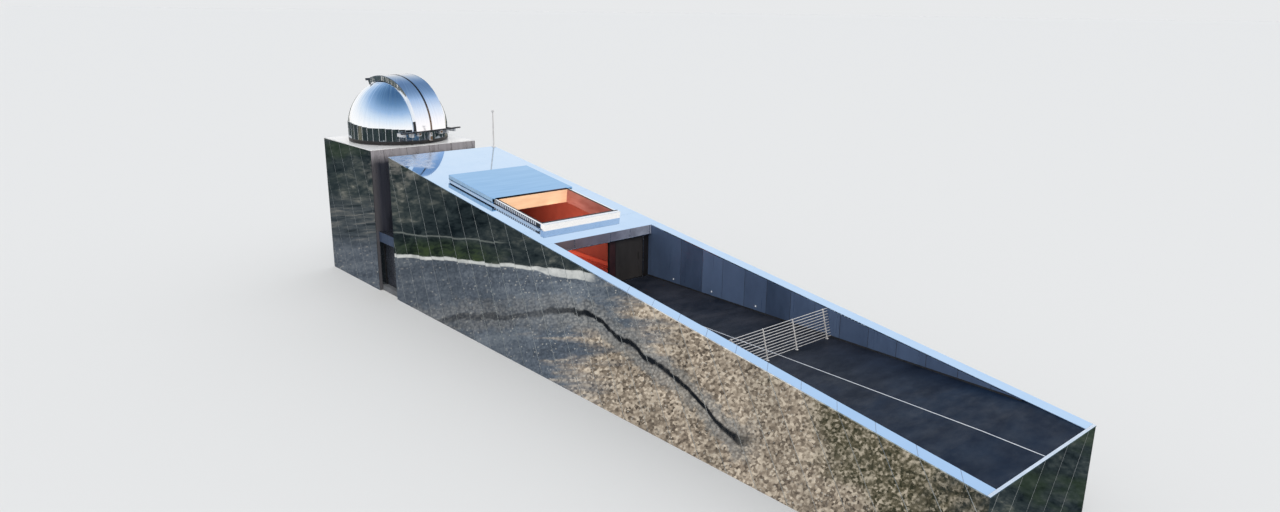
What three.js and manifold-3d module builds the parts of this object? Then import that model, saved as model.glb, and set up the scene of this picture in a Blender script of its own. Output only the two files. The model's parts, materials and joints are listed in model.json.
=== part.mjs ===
// Hillside observatory: a square tower under a turning dome, a low link with the
// entrance, and a long wedge-shaped wing whose roof falls away as the coping of a
// sunken terrace. Built at half size: one real metre is 500 mm here.
// +X runs along the building from the tower to the wing's low end, +Y across it,
// +Z up, and the origin is the centre of the footprint at ground level.

import * as THREE from 'three';
import { mergeVertices } from 'three/addons/utils/BufferGeometryUtils.js';
import Module from 'manifold-3d';

const wasm = await Module();
wasm.setup();

const metre = 500;
const gap = 0.3;

// Plan
const towerLength = 6.36 * metre;
const linkLength = 2.16 * metre;
const wingLength = 34.48 * metre;
const width = 6.6 * metre;
const towerX = -(towerLength + linkLength + wingLength) / 2;
const linkX = towerX + towerLength;
const wingX = linkX + linkLength;
const endX = wingX + wingLength;
const nearY = -width / 2;
const farY = width / 2;

// Levels above the ground
const entryLevel = 0.3 * metre;
const terraceLevel = 3.56 * metre;
const towerTop = 8.07 * metre;
const wingTop = 7.97 * metre;
const roofFall = 0.134;

// Walls, roofs and copings. Wall faces stand back from the roof edges by lip.
const lip = 0.024 * metre;
const towerWall = 0.4 * metre;
const towerRoofDepth = 0.3 * metre;
const roofDepth = 0.43 * metre;
const roofLength = 14.21 * metre;
const fasciaPlate = 0.03 * metre;
const nearCoping = 0.5 * metre;
const farCoping = 0.54 * metre;
const endCoping = 0.1 * metre;
const copingDepth = 0.04 * metre;
const lining = 0.04 * metre;
const backWall = 0.4 * metre;
const endWall = 0.3 * metre;
const endKerbDepth = 0.3 * metre;
const liningStop = 0.3 * metre;
const floorDrop = copingDepth + 2 * gap;

// Link and entrance
const linkTop = 3.43 * metre;
const linkRoofDepth = 0.56 * metre;
const linkSetback = 0.2 * metre;
const doorSetback = 0.44 * metre;
const linkWall = 0.3 * metre;
const frameBar = 0.08 * metre;
const frameDepth = 0.12 * metre;
const entranceLeaf = 1.25 * metre;
const leafThickness = 0.05 * metre;
const leafClear = 0.016 * metre;
const pivotRadius = 0.018 * metre;
const pivotSides = 16;
const doorwayWidth = 1.1 * metre;
const doorwayHeight = 2.1 * metre;

// Terrace screen: a glass bay, a broad post and a door bay in one frame
const screenX = wingX + 14.01 * metre;
const screenDepth = 0.1 * metre;
const screenBar = 0.07 * metre;
const screenSill = 0.035 * metre;
const glassThickness = 0.02 * metre;
const screenPostY = nearY + 3.71 * metre;
const screenPostWidth = 0.34 * metre;
const screenDoorEnd = nearY + 5.71 * metre;

// Railing and floor strip
const railingX = wingX + 24.73 * metre;
const railingHeight = 1.13 * metre;
const railingLean = 0.31 * metre;
const railingPosts = [0.68, 2.33, 3.98, 5.79];
const railingBars = 11;
const railingBarSides = 8;
const railingLowBar = 0.079 * metre;
const railingTopBar = 1.107 * metre;
const railingBarRadius = 0.013 * metre;
const railingPostDepth = 0.05 * metre;
const railingPostWidth = 0.022 * metre;
const railingFoot = 0.1 * metre;
const railingFootHeight = 0.012 * metre;
const railingEnd = 0.02 * metre;
const stripY = nearY + 3.05 * metre;
const stripWidth = 0.04 * metre;
const stripHeight = 0.008 * metre;
const stripStart = screenX + 0.4 * metre;
const stripDrift = 0.21;

// Roof hatch and its sliding cover, measured down the slope and across the wing
const slope = Math.atan(roofFall);
const hatchStart = 8.86 * metre;
const hatchEnd = 12.73 * metre;
const hatchNear = nearY + 0.96 * metre;
const hatchFar = nearY + 5.3 * metre;
const curbWall = 0.14 * metre;
const curbHeight = 0.25 * metre;
const endBoxLength = 0.26 * metre;
const endBoxHeight = 0.31 * metre;
const coverStart = 4.95 * metre;
const coverEnd = hatchStart + curbWall;
const coverTop = 0.33 * metre;
const coverPlate = 0.04 * metre;
const coverOverhang = 0.06 * metre;
const coverSkirt = 0.03 * metre;
const coverRailOffset = 0.09 * metre;
const coverRailWidth = 0.06 * metre;
const coverRailHeight = 0.07 * metre;

// Mast at the wing's high far corner
const mastHeight = 2.05 * metre;
const mastRadius = 0.032 * metre;
const mastInset = 0.14 * metre;
const mastPlate = 0.18 * metre;
const mastPlateHeight = 0.02 * metre;
const mastBall = 0.075 * metre;
const mastSides = 12;

// Dome: a skirt and a hemisphere, with two shutter halves that slide apart
// along a long straight rail at the foot of the slit and a short guide behind
// its head. Angles are in degrees from the horizon over the top.
const domeX = towerX + towerLength / 2;
const domeRadius = 2.856 * metre;
const domeThickness = 0.06 * metre;
const domeSegments = 64;
const domeRings = 16;
const archStep = 4;
const skirtHeight = 0.76 * metre;
const skirtLift = 0.03 * metre;
const flangeDepth = 0.18 * metre;
const flangeHeight = 0.06 * metre;
const ringInner = 2.6 * metre;
const ringOuter = 2.76 * metre;
const ringHeight = 0.12 * metre;
const roofHole = 2.5 * metre;
const slitAzimuth = THREE.MathUtils.degToRad(11.7);
const slitHalf = 0.9 * metre;
const slitStart = 3;
const slitEnd = 109;
const curbThickness = 0.06 * metre;
const curbSeat = 0.05;
const curbEnd = 1.3;
const curbInner = 2.62 * metre;
const curbOuter = 2.94 * metre;
const shutterHalf = 1.05 * metre;
const shutterRadius = 3.01 * metre;
const shutterSkin = 0.04 * metre;
const shutterFlange = 2.7 * metre;
const shutterEndInner = 2.9 * metre;
const shutterStart = 0.5;
const shutterEnd = 113;
const shutterEndPlate = 1;
const seamHalf = 0.01 * metre;
const railInner = 2.93 * metre;
const railOuter = 3.05 * metre;
const railAngle = 1.4;
const railHalf = 2.15 * metre;
const railBrackets = [0.5, 1.55];
const guideHalf = 1.2 * metre;
const guideBrackets = [0.4, 1];
const bracketWidth = 0.08 * metre;
const bracketAngle = 1.2;

// Derived places
const roofZ = (x) => wingTop - roofFall * (x - wingX);
const roofEdgeX = wingX + roofLength;
const nearInner = nearY + nearCoping;
const farInner = farY - farCoping;
const nearWallInner = nearInner - lining;
const farWallInner = farInner + lining;
const slabBottom = roofZ(endX) - endKerbDepth;
const floorKneeX = wingX + (wingTop - floorDrop - terraceLevel) / roofFall;
const soffitZ = roofZ(roofEdgeX) - roofDepth;
const kerbX = endX - endCoping;

const finish = {
  mirror: new THREE.MeshStandardMaterial({ color: 0x4c5450, roughness: 0.06, metalness: 1 }),
  roof: new THREE.MeshStandardMaterial({ color: 0xb4cdeb, roughness: 0.2, metalness: 0.9 }),
  cover: new THREE.MeshStandardMaterial({ color: 0x8fb8e0, roughness: 0.15, metalness: 0.9 }),
  white: new THREE.MeshStandardMaterial({ color: 0xf2ede6, roughness: 0.5, metalness: 0.1 }),
  dome: new THREE.MeshStandardMaterial({ color: 0xc9d6e4, roughness: 0.1, metalness: 1 }),
  lining: new THREE.MeshStandardMaterial({ color: 0x4d5b73, roughness: 0.45, metalness: 0.5 }),
  reveal: new THREE.MeshStandardMaterial({ color: 0xe9b98a, roughness: 0.6, metalness: 0 }),
  terrace: new THREE.MeshStandardMaterial({ color: 0x1f2126, roughness: 0.8, metalness: 0 }),
  roomFloor: new THREE.MeshStandardMaterial({ color: 0x9c2215, roughness: 0.5, metalness: 0 }),
  concrete: new THREE.MeshStandardMaterial({ color: 0x8a8884, roughness: 0.9, metalness: 0 }),
  frame: new THREE.MeshStandardMaterial({ color: 0x16110f, roughness: 0.5, metalness: 0.4 }),
  post: new THREE.MeshStandardMaterial({ color: 0x3a1512, roughness: 0.5, metalness: 0.2 }),
  glass: new THREE.MeshStandardMaterial({ color: 0xc8d4d8, roughness: 0.05, metalness: 0 }),
  door: new THREE.MeshStandardMaterial({ color: 0x2b2726, roughness: 0.5, metalness: 0.3 }),
  steel: new THREE.MeshStandardMaterial({ color: 0xb9bfc6, roughness: 0.35, metalness: 0.9 }),
};

const building = new THREE.Group();
building.name = 'observatory';

// The roof frame lies on the wing's roof: +X down the slope, +Z square to it.
const roofFrame = new THREE.Group();
roofFrame.position.set(wingX, 0, wingTop);
roofFrame.rotation.y = slope;
building.add(roofFrame);

// The dome frame has +X towards the slit's foot and +Z up from the equator.
const domeFrame = new THREE.Group();
domeFrame.position.set(domeX, 0, towerTop + skirtHeight);
domeFrame.rotation.z = slitAzimuth;
building.add(domeFrame);
building.updateMatrixWorld(true);

function addNode(name, geometry, material, parent = building) {
  const mesh = new THREE.Mesh(geometry, material);
  mesh.name = name;
  parent.add(mesh);
}

function box(x0, x1, y0, y1, z0, z1) {
  const geometry = new THREE.BoxGeometry(x1 - x0, y1 - y0, z1 - z0);
  geometry.translate((x0 + x1) / 2, (y0 + y1) / 2, (z0 + z1) / 2);
  return geometry;
}

// A prism whose outline is a list of [x, z], from y0 to y1
function prism(points, y0, y1) {
  const shape = new THREE.Shape(points.map(([x, z]) => new THREE.Vector2(x, z)));
  const geometry = new THREE.ExtrudeGeometry(shape, { depth: y1 - y0, bevelEnabled: false });
  geometry.rotateX(Math.PI / 2);
  geometry.translate(0, y1, 0);
  return geometry;
}

// An upright solid of revolution whose outline is a list of [radius, z]
function revolve(points) {
  const outline = points.map(([radius, z]) => new THREE.Vector2(radius, z));
  const geometry = new THREE.LatheGeometry(outline, domeSegments);
  geometry.rotateX(Math.PI / 2);
  return geometry;
}

function cylinder(radius, z0, z1, x = 0, y = 0, sides = domeSegments) {
  const geometry = new THREE.CylinderGeometry(radius, radius, z1 - z0, sides);
  geometry.rotateX(Math.PI / 2);
  geometry.translate(x, y, (z0 + z1) / 2);
  return geometry;
}

// A length of arched band: radii r0 to r1, angles a0 to a1, from y0 to y1
function arch(r0, r1, a0, a1, y0, y1) {
  const steps = Math.max(1, Math.ceil((a1 - a0) / archStep));
  const at = (radius, i) => {
    const angle = THREE.MathUtils.degToRad(a0 + (a1 - a0) * (i / steps));
    return [radius * Math.cos(angle), radius * Math.sin(angle)];
  };
  const outer = Array.from({ length: steps + 1 }, (_, i) => at(r1, i));
  const inner = Array.from({ length: steps + 1 }, (_, i) => at(r0, steps - i));
  return prism([...outer, ...inner], y0, y1);
}

function toSolid(geometry) {
  const bare = geometry.clone();
  bare.deleteAttribute('normal');
  bare.deleteAttribute('uv');
  const merged = mergeVertices(bare, 1e-3);
  return new wasm.Manifold(new wasm.Mesh({
    numProp: 3,
    vertProperties: new Float32Array(merged.attributes.position.array),
    triVerts: new Uint32Array(merged.index.array),
  }));
}

function toGeometry(solid) {
  const mesh = solid.getMesh();
  const geometry = new THREE.BufferGeometry();
  geometry.setAttribute('position', new THREE.BufferAttribute(new Float32Array(mesh.vertProperties), 3));
  geometry.setIndex(new THREE.BufferAttribute(new Uint32Array(mesh.triVerts), 1));
  return geometry;
}

function cut(geometry, ...tools) {
  return toGeometry(tools.reduce((left, tool) => left.subtract(toSolid(tool)), toSolid(geometry)));
}

function fuse(...geometries) {
  return toGeometry(geometries.map(toSolid).reduce((sum, next) => sum.add(next)));
}

// A doorway-sized block that passes through a wall between x0 and x1
function doorwayBlock(x0, x1) {
  const over = towerWall;
  return box(x0 - over, x1 + over, -doorwayWidth / 2, doorwayWidth / 2,
    entryLevel, entryLevel + doorwayHeight);
}

// Tower: four walls round a clear shaft, a floor at the entrance level and a flat
// roof with a round opening under the dome. Only the roof's thin deck reaches out
// to the eaves; the slab under it stands back in line with the wall faces.
function addTower() {
  const x0 = towerX + lip;
  const x1 = linkX - lip;
  const y0 = nearY + lip;
  const y1 = farY - lip;
  const sideY0 = y0 + towerWall;
  const sideY1 = y1 - towerWall;
  const top = towerTop - towerRoofDepth;
  addNode('tower_near_wall', box(x0, x1, y0, sideY0, 0, top), finish.mirror);
  addNode('tower_far_wall', box(x0, x1, sideY1, y1, 0, top), finish.mirror);
  addNode('tower_back_wall', box(x0, x0 + towerWall, sideY0, sideY1, 0, top), finish.mirror);
  const front = cut(box(x1 - towerWall, x1, sideY0, sideY1, 0, top), doorwayBlock(x1 - towerWall, x1));
  addNode('tower_front_wall', front, finish.mirror);
  addNode('tower_floor', box(x0 + towerWall, x1 - towerWall, sideY0, sideY1, 0, entryLevel),
    finish.concrete);
  const hole = cylinder(roofHole, top - towerRoofDepth, towerTop + towerRoofDepth, domeX);
  const deck = box(towerX, linkX, nearY, farY, towerTop - copingDepth, towerTop);
  const slab = box(x0, x1, y0, y1, top, towerTop - copingDepth / 2);
  addNode('tower_roof', cut(fuse(deck, slab), hole), finish.white);
}

// Link: a low passage between tower and wing, set back behind their faces, with
// the entrance under the edge of its roof
function addLink() {
  const x0 = linkX - lip;
  const x1 = wingX + lip;
  const front = nearY + linkSetback;
  const back = farY - linkSetback;
  const soffit = linkTop - linkRoofDepth;
  const farWallY = farY - doorSetback;
  addNode('link_floor', box(x0, x1, front, back, 0, entryLevel), finish.concrete);
  addNode('link_roof', box(x0, x1, front, back, soffit, linkTop), finish.lining);
  addNode('link_far_wall', box(x0, x1, farWallY - linkWall, farWallY, entryLevel, soffit), finish.mirror);

  const frameY = nearY + doorSetback;
  const leafX = x0 + frameBar + leafClear;
  const mullionX = leafX + entranceLeaf + leafClear;
  const sideX0 = mullionX + frameBar;
  const sideX1 = x1 - frameBar;
  const headZ = soffit - frameBar;
  const bay = (a, b) => box(a, b, frameY - frameDepth, frameY + 2 * frameDepth, 0, headZ);
  const frame = cut(
    box(x0, x1, frameY, frameY + frameDepth, entryLevel, soffit),
    bay(x0 + frameBar, mullionX),
    bay(sideX0, sideX1),
  );
  addNode('entrance_frame', frame, finish.frame);
  const panelY = frameY + (frameDepth - leafThickness) / 2;
  addNode('entrance_side_panel', box(sideX0, sideX1, panelY, panelY + leafThickness, entryLevel, headZ),
    finish.door);
  addEntranceDoor(leafX, panelY, headZ);
}

// The entrance leaf turns on a pin that stands on the floor near its tower-side edge.
function addEntranceDoor(leafX, panelY, headZ) {
  const leaf = box(leafX, leafX + entranceLeaf, panelY, panelY + leafThickness,
    entryLevel + leafClear, headZ - leafClear);
  const pin = cylinder(pivotRadius, entryLevel + gap, entryLevel + 2 * leafClear,
    leafX + leafThickness, panelY + leafThickness / 2, pivotSides);
  addNode('entrance_door', fuse(leaf, pin), finish.door);
}

// Wing: two long walls under the falling roof line, a wall towards the link, an
// end wall, and floors at the entrance and terrace levels
function addWing() {
  const x0 = wingX + lip;
  const x1 = endX - lip;
  const backX = x0 + backWall;
  const longWall = [
    [x0, 0],
    [x1, 0],
    [x1, roofZ(x1) - copingDepth - gap],
    [roofEdgeX + gap, roofZ(roofEdgeX) - copingDepth - gap],
    [roofEdgeX + gap, soffitZ - gap],
    [x0, roofZ(x0) - roofDepth - gap],
  ];
  addNode('wing_near_wall', prism(longWall, nearY + lip, nearWallInner), finish.mirror);
  addNode('wing_far_wall', prism(longWall, farWallInner, farY - lip), finish.mirror);
  const backProfile = [
    [x0, 0],
    [backX, 0],
    [backX, roofZ(backX) - roofDepth - gap],
    [x0, roofZ(x0) - roofDepth - gap],
  ];
  const back = cut(prism(backProfile, nearWallInner, farWallInner), doorwayBlock(x0, backX));
  addNode('wing_back_wall', back, finish.mirror);
  addNode('wing_end_wall', box(x1 - endWall, x1, nearWallInner, farWallInner, 0, slabBottom),
    finish.mirror);
  addNode('wing_ground_floor', box(backX, x1 - endWall, nearWallInner, farWallInner, 0, entryLevel),
    finish.concrete);

  const terraceStart = screenX - screenDepth;
  addNode('room_floor', box(backX, terraceStart, nearWallInner, farWallInner, slabBottom, terraceLevel),
    finish.roomFloor);
  const terrace = [
    [terraceStart, slabBottom],
    [kerbX - gap, slabBottom],
    [kerbX - gap, roofZ(kerbX) - floorDrop],
    [floorKneeX, terraceLevel],
    [terraceStart, terraceLevel],
  ];
  addNode('terrace_floor', prism(terrace, nearWallInner, farWallInner), finish.terrace);
}

// Roof over the room with its fascia, and the copings round the terrace. The
// roof's thin deck is level with the copings, over a slab that stands back with
// the walls.
function addRoof() {
  const roofPrism = (x0, above, below, y0, y1) => prism([
    [x0, roofZ(x0) - below],
    [roofEdgeX, roofZ(roofEdgeX) - below],
    [roofEdgeX, roofZ(roofEdgeX) - above],
    [x0, roofZ(x0) - above],
  ], y0, y1);
  const deck = roofPrism(wingX, 0, copingDepth, nearY, farY);
  const slab = roofPrism(wingX + lip, copingDepth / 2, roofDepth, nearY + lip, farY - lip);
  const opening = box(hatchStart - gap, hatchEnd + gap, hatchNear - gap, hatchFar + gap,
    -2 * roofDepth, roofDepth);
  opening.applyMatrix4(roofFrame.matrixWorld);
  addNode('wing_roof', cut(fuse(deck, slab), opening), finish.roof);

  const fasciaX = roofEdgeX + fasciaPlate;
  const fascia = [
    [roofEdgeX + gap, soffitZ],
    [fasciaX, soffitZ],
    [fasciaX, roofZ(fasciaX)],
    [roofEdgeX + gap, roofZ(roofEdgeX + gap)],
  ];
  addNode('roof_fascia', prism(fascia, nearInner + gap, farInner - gap), finish.mirror);

  const coping = [
    [roofEdgeX + gap, roofZ(roofEdgeX + gap) - copingDepth],
    [kerbX - gap, roofZ(kerbX) - copingDepth],
    [kerbX - gap, roofZ(kerbX)],
    [roofEdgeX + gap, roofZ(roofEdgeX + gap)],
  ];
  addNode('coping_near', prism(coping, nearY, nearInner), finish.roof);
  addNode('coping_far', prism(coping, farInner, farY), finish.roof);
  addEndKerb();
}

// The end kerb has a cap over the full width and a web between the long walls.
function addEndKerb() {
  const webX = endX - lip;
  const cap = [
    [kerbX, roofZ(kerbX) - copingDepth],
    [endX, roofZ(endX) - copingDepth],
    [endX, roofZ(endX)],
    [kerbX, roofZ(kerbX)],
  ];
  const web = [
    [kerbX, slabBottom],
    [webX, slabBottom],
    [webX, roofZ(webX) - copingDepth / 2],
    [kerbX, roofZ(kerbX) - copingDepth / 2],
  ];
  const kerb = fuse(prism(cap, nearY, farY), prism(web, nearWallInner + gap, farWallInner - gap));
  addNode('coping_end', kerb, finish.roof);
}

// Linings on the terrace side of the long walls, and the metal strip in the floor,
// which drifts to the far side where the floor falls to the end
function addTerraceTrim() {
  const x0 = screenX + screenDepth / 2;
  const x1 = floorKneeX - liningStop;
  const edge = roofEdgeX + gap;
  const sheet = [
    [x0, terraceLevel],
    [x1, terraceLevel],
    [x1, roofZ(x1) - copingDepth - gap],
    [edge, roofZ(edge) - copingDepth - gap],
    [edge, soffitZ - gap],
    [x0, soffitZ - gap],
  ];
  addNode('lining_near', prism(sheet, nearWallInner, nearInner), finish.lining);
  addNode('lining_far', prism(sheet, farInner, farWallInner), finish.lining);

  const floorZ = (x) => (x <= floorKneeX ? terraceLevel : roofZ(x) - floorDrop);
  const stops = [stripStart, floorKneeX, kerbX - 2 * gap];
  const lower = stops.map((x) => [x, floorZ(x) + gap]);
  const upper = stops.map((x) => [x, floorZ(x) + stripHeight]).reverse();
  const strip = prism([...lower, ...upper], stripY - stripWidth / 2, stripY + stripWidth / 2);
  const points = strip.attributes.position;
  for (let i = 0; i < points.count; i++) {
    const past = Math.max(0, points.getX(i) - floorKneeX);
    points.setY(i, points.getY(i) + past * stripDrift);
  }
  addNode('floor_strip', strip, finish.steel);
}

// Railing across the terrace: leaning flat posts on foot plates, with round bars
function addRailing() {
  const foot = terraceLevel + gap;
  const leanX = (z) => railingX - railingLean * (z / railingHeight);
  const post = (y) => prism([
    [leanX(0) - railingPostDepth / 2, foot],
    [leanX(0) + railingPostDepth / 2, foot],
    [leanX(railingHeight) + railingPostDepth / 2, terraceLevel + railingHeight],
    [leanX(railingHeight) - railingPostDepth / 2, terraceLevel + railingHeight],
  ], y - railingPostWidth / 2, y + railingPostWidth / 2);
  const plate = (y) => box(leanX(0) - railingFoot / 2, leanX(0) + railingFoot / 2,
    y - railingFoot / 2, y + railingFoot / 2, foot, foot + railingFootHeight);
  const y0 = nearInner + railingEnd;
  const y1 = farInner - railingEnd;
  const bar = (i) => {
    const z = THREE.MathUtils.lerp(railingLowBar, railingTopBar, i / (railingBars - 1));
    const geometry = new THREE.CylinderGeometry(railingBarRadius, railingBarRadius, y1 - y0, railingBarSides);
    geometry.translate(leanX(z), (y0 + y1) / 2, terraceLevel + z);
    return geometry;
  };
  const posts = railingPosts.map((y) => nearY + y * metre);
  const bars = Array.from({ length: railingBars }, (_, i) => bar(i));
  addNode('terrace_railing', fuse(...posts.map(post), ...posts.map(plate), ...bars), finish.steel);
}

// Screen between room and terrace, under the edge of the roof
function addScreen() {
  const x0 = screenX - screenDepth / 2;
  const x1 = screenX + screenDepth / 2;
  const top = soffitZ - gap;
  const sillZ = terraceLevel + screenSill;
  const headZ = top - screenBar;
  const postEnd = screenPostY + screenPostWidth;
  const bays = {
    glass: [nearWallInner + lining + screenBar, screenPostY - screenBar / 2],
    post: [screenPostY, postEnd],
    door: [postEnd + screenBar / 2, screenDoorEnd],
  };
  const bayBlock = ([y0, y1]) => box(x0 - screenDepth, x1 + screenDepth, y0, y1, sillZ, headZ);
  const frame = cut(box(x0, x1, nearWallInner, farWallInner, terraceLevel, top),
    ...Object.values(bays).map(bayBlock));
  addNode('screen_frame', frame, finish.frame);
  const infill = ([y0, y1], depth) => box(screenX - depth / 2, screenX + depth / 2, y0, y1, sillZ, headZ);
  addNode('screen_glass', infill(bays.glass, glassThickness), finish.glass);
  addNode('screen_post', infill(bays.post, screenDepth), finish.post);
  addNode('terrace_doors', infill(bays.door, leafThickness), finish.door);
}

// Hatch in the roof: a deep curb through the slab, a white box at its lower end,
// a rail on each side, and the cover that slides down the rails to close it
function addHatch() {
  const curb = cut(
    box(hatchStart, hatchEnd, hatchNear, hatchFar, -roofDepth, curbHeight),
    box(hatchStart + curbWall, hatchEnd - curbWall, hatchNear + curbWall, hatchFar - curbWall,
      -2 * roofDepth, 2 * roofDepth),
  );
  addNode('hatch_curb', curb, finish.reveal, roofFrame);
  addNode('hatch_end_box', box(hatchEnd + gap, hatchEnd + endBoxLength, hatchNear, hatchFar,
    gap, endBoxHeight), finish.white, roofFrame);

  const railEnd = hatchEnd - gap;
  const railPlaces = [hatchNear - coverRailOffset, hatchFar + coverRailOffset];
  const rail = (y) => box(coverStart, railEnd, y - coverRailWidth / 2, y + coverRailWidth / 2,
    gap, coverRailHeight);
  addNode('cover_rail_near', rail(railPlaces[0]), finish.steel, roofFrame);
  addNode('cover_rail_far', rail(railPlaces[1]), finish.steel, roofFrame);

  const y0 = railPlaces[0] - coverOverhang;
  const y1 = railPlaces[1] + coverOverhang;
  const under = coverTop - coverPlate / 2;
  const skirt = (y) => box(coverStart, coverEnd, y - coverSkirt / 2, y + coverSkirt / 2,
    coverRailHeight + gap, under);
  const tail = box(coverStart, coverStart + coverSkirt, railPlaces[0], railPlaces[1],
    coverRailHeight + gap, under);
  const plate = box(coverStart, coverEnd, y0, y1, coverTop - coverPlate, coverTop);
  addNode('roof_cover', fuse(plate, skirt(railPlaces[0]), skirt(railPlaces[1]), tail),
    finish.cover, roofFrame);
}

// Mast with a ball at its head, on a small plate that follows the roof
function addMast() {
  const x = wingX + mastInset;
  const y = farY - mastInset;
  const plateX = mastInset / Math.cos(slope);
  const plate = box(plateX - mastPlate / 2, plateX + mastPlate / 2, y - mastPlate / 2, y + mastPlate / 2,
    gap, mastPlateHeight);
  plate.applyMatrix4(roofFrame.matrixWorld);
  const pole = cylinder(mastRadius, roofZ(x) + mastPlateHeight / 2, roofZ(x) + mastHeight, x, y, mastSides);
  const ball = new THREE.SphereGeometry(mastBall, 16, 10);
  ball.translate(x, y, roofZ(x) + mastHeight);
  addNode('mast', fuse(plate, pole, ball), finish.steel);
}

// A point of the dome's meridian, from just above the equator to the top
function meridian(radius, i) {
  const angle = (Math.PI / 2) * (i / domeRings);
  return [i === domeRings ? 0 : radius * Math.cos(angle), i === 0 ? gap : radius * Math.sin(angle)];
}

// The fixed ring that carries the dome, the skirt that runs on it, and the shell
function addDomeBody() {
  const foot = -skirtHeight;
  const ring = revolve([
    [ringInner, towerTop],
    [ringOuter, towerTop],
    [ringOuter, towerTop + ringHeight],
    [ringInner, towerTop + ringHeight],
    [ringInner, towerTop],
  ]);
  ring.translate(domeX, 0, 0);
  addNode('dome_base_ring', ring, finish.steel);

  const inner = domeRadius - domeThickness;
  const flangeZ = foot + ringHeight + gap;
  const skirt = revolve([
    [inner, foot + skirtLift],
    [domeRadius, foot + skirtLift],
    [domeRadius, 0],
    [inner, 0],
    [inner, flangeZ + flangeHeight],
    [inner - flangeDepth, flangeZ + flangeHeight],
    [inner - flangeDepth, flangeZ],
    [inner, flangeZ],
    [inner, foot + skirtLift],
  ]);
  addNode('dome_skirt', skirt, finish.dome, domeFrame);

  const outer = Array.from({ length: domeRings + 1 }, (_, i) => meridian(domeRadius, i));
  const hollow = Array.from({ length: domeRings + 1 }, (_, i) => meridian(inner, domeRings - i));
  const slot = arch(domeRadius / 2, shutterRadius, slitStart, slitEnd, -slitHalf - gap, slitHalf + gap);
  addNode('dome_shell', cut(revolve([...hollow, ...outer]), slot), finish.dome, domeFrame);
}

// A curb round the slit stands up under the shutters.
function addSlitCurb() {
  const clear = slitHalf - curbThickness;
  const curb = cut(
    arch(curbInner, curbOuter, slitStart + curbSeat, slitEnd - curbSeat, -slitHalf, slitHalf),
    arch(domeRadius / 2, shutterRadius, slitStart + curbEnd, slitEnd - curbEnd, -clear, clear),
  );
  addNode('slit_curb', curb, finish.steel, domeFrame);
}

// Each rail is a straight bar held off the dome by brackets.
function addShutterRail(name, a0, a1, half, bracketPlaces) {
  const bar = arch(railInner, railOuter, a0, a1, -half, half);
  const middle = (a0 + a1) / 2;
  const bracket = (y) => arch(domeRadius / 2, railOuter - shutterSkin, middle - bracketAngle / 2,
    middle + bracketAngle / 2, y - bracketWidth / 2, y + bracketWidth / 2);
  const places = bracketPlaces.flatMap((y) => [-y * metre, y * metre]);
  const ball = Array.from({ length: domeRings + 1 }, (_, i) => meridian(domeRadius + gap, i));
  const inside = a0 < 0
    ? cylinder(domeRadius + gap, -skirtHeight, skirtHeight)
    : revolve([[0, gap], ...ball]);
  addNode(name, cut(fuse(bar, ...places.map(bracket)), inside), finish.steel, domeFrame);
}

// One shutter half: a curved skin, and a frame under it with a flange down its
// outer side and a plate across each end; side is -1 or 1. The plates stay under
// the flats of the skin, which lie a little inside its radius.
function addShutter(name, side) {
  const span = (a, b) => (side > 0 ? [a, b] : [-b, -a]);
  const band = (r0, r1, a0, a1, [y0, y1]) => arch(r0, r1, a0, a1, y0, y1);
  const across = span(seamHalf, shutterHalf);
  const edge = span(shutterHalf - shutterSkin, shutterHalf);
  const skinInner = shutterRadius - shutterSkin;
  const frameTop = skinInner - gap;
  const plateTop = skinInner * Math.cos(THREE.MathUtils.degToRad(archStep / 2)) - gap;
  addNode(name, band(skinInner, shutterRadius, shutterStart, shutterEnd, across), finish.dome, domeFrame);
  addNode(`${name}_frame`, fuse(
    band(shutterFlange, frameTop, shutterStart, shutterEnd, edge),
    band(shutterEndInner, plateTop, shutterStart, shutterStart + shutterEndPlate, across),
    band(shutterEndInner, plateTop, shutterEnd - shutterEndPlate, shutterEnd, across),
  ), finish.dome, domeFrame);
}

function addDome() {
  const seat = THREE.MathUtils.radToDeg(gap / shutterRadius);
  addDomeBody();
  addSlitCurb();
  const foot = shutterStart - seat;
  const head = shutterEnd + seat;
  addShutterRail('shutter_rail_lower', foot - railAngle, foot, railHalf, railBrackets);
  addShutterRail('shutter_rail_upper', head, head + railAngle, guideHalf, guideBrackets);
  addShutter('shutter_near', -1);
  addShutter('shutter_far', 1);
}

addTower();
addLink();
addWing();
addRoof();
addTerraceTrim();
addRailing();
addScreen();
addHatch();
addMast();
addDome();

export default building;
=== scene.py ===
# Looks of the hillside observatory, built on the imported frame. Lengths are in metres
# of the 1:2 model.

import json
import random
from math import asin, atan, atan2, cos, degrees, dist, pi, radians, sin, sqrt, tau

import bmesh
import bpy
from mathutils import Matrix, Vector


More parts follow.
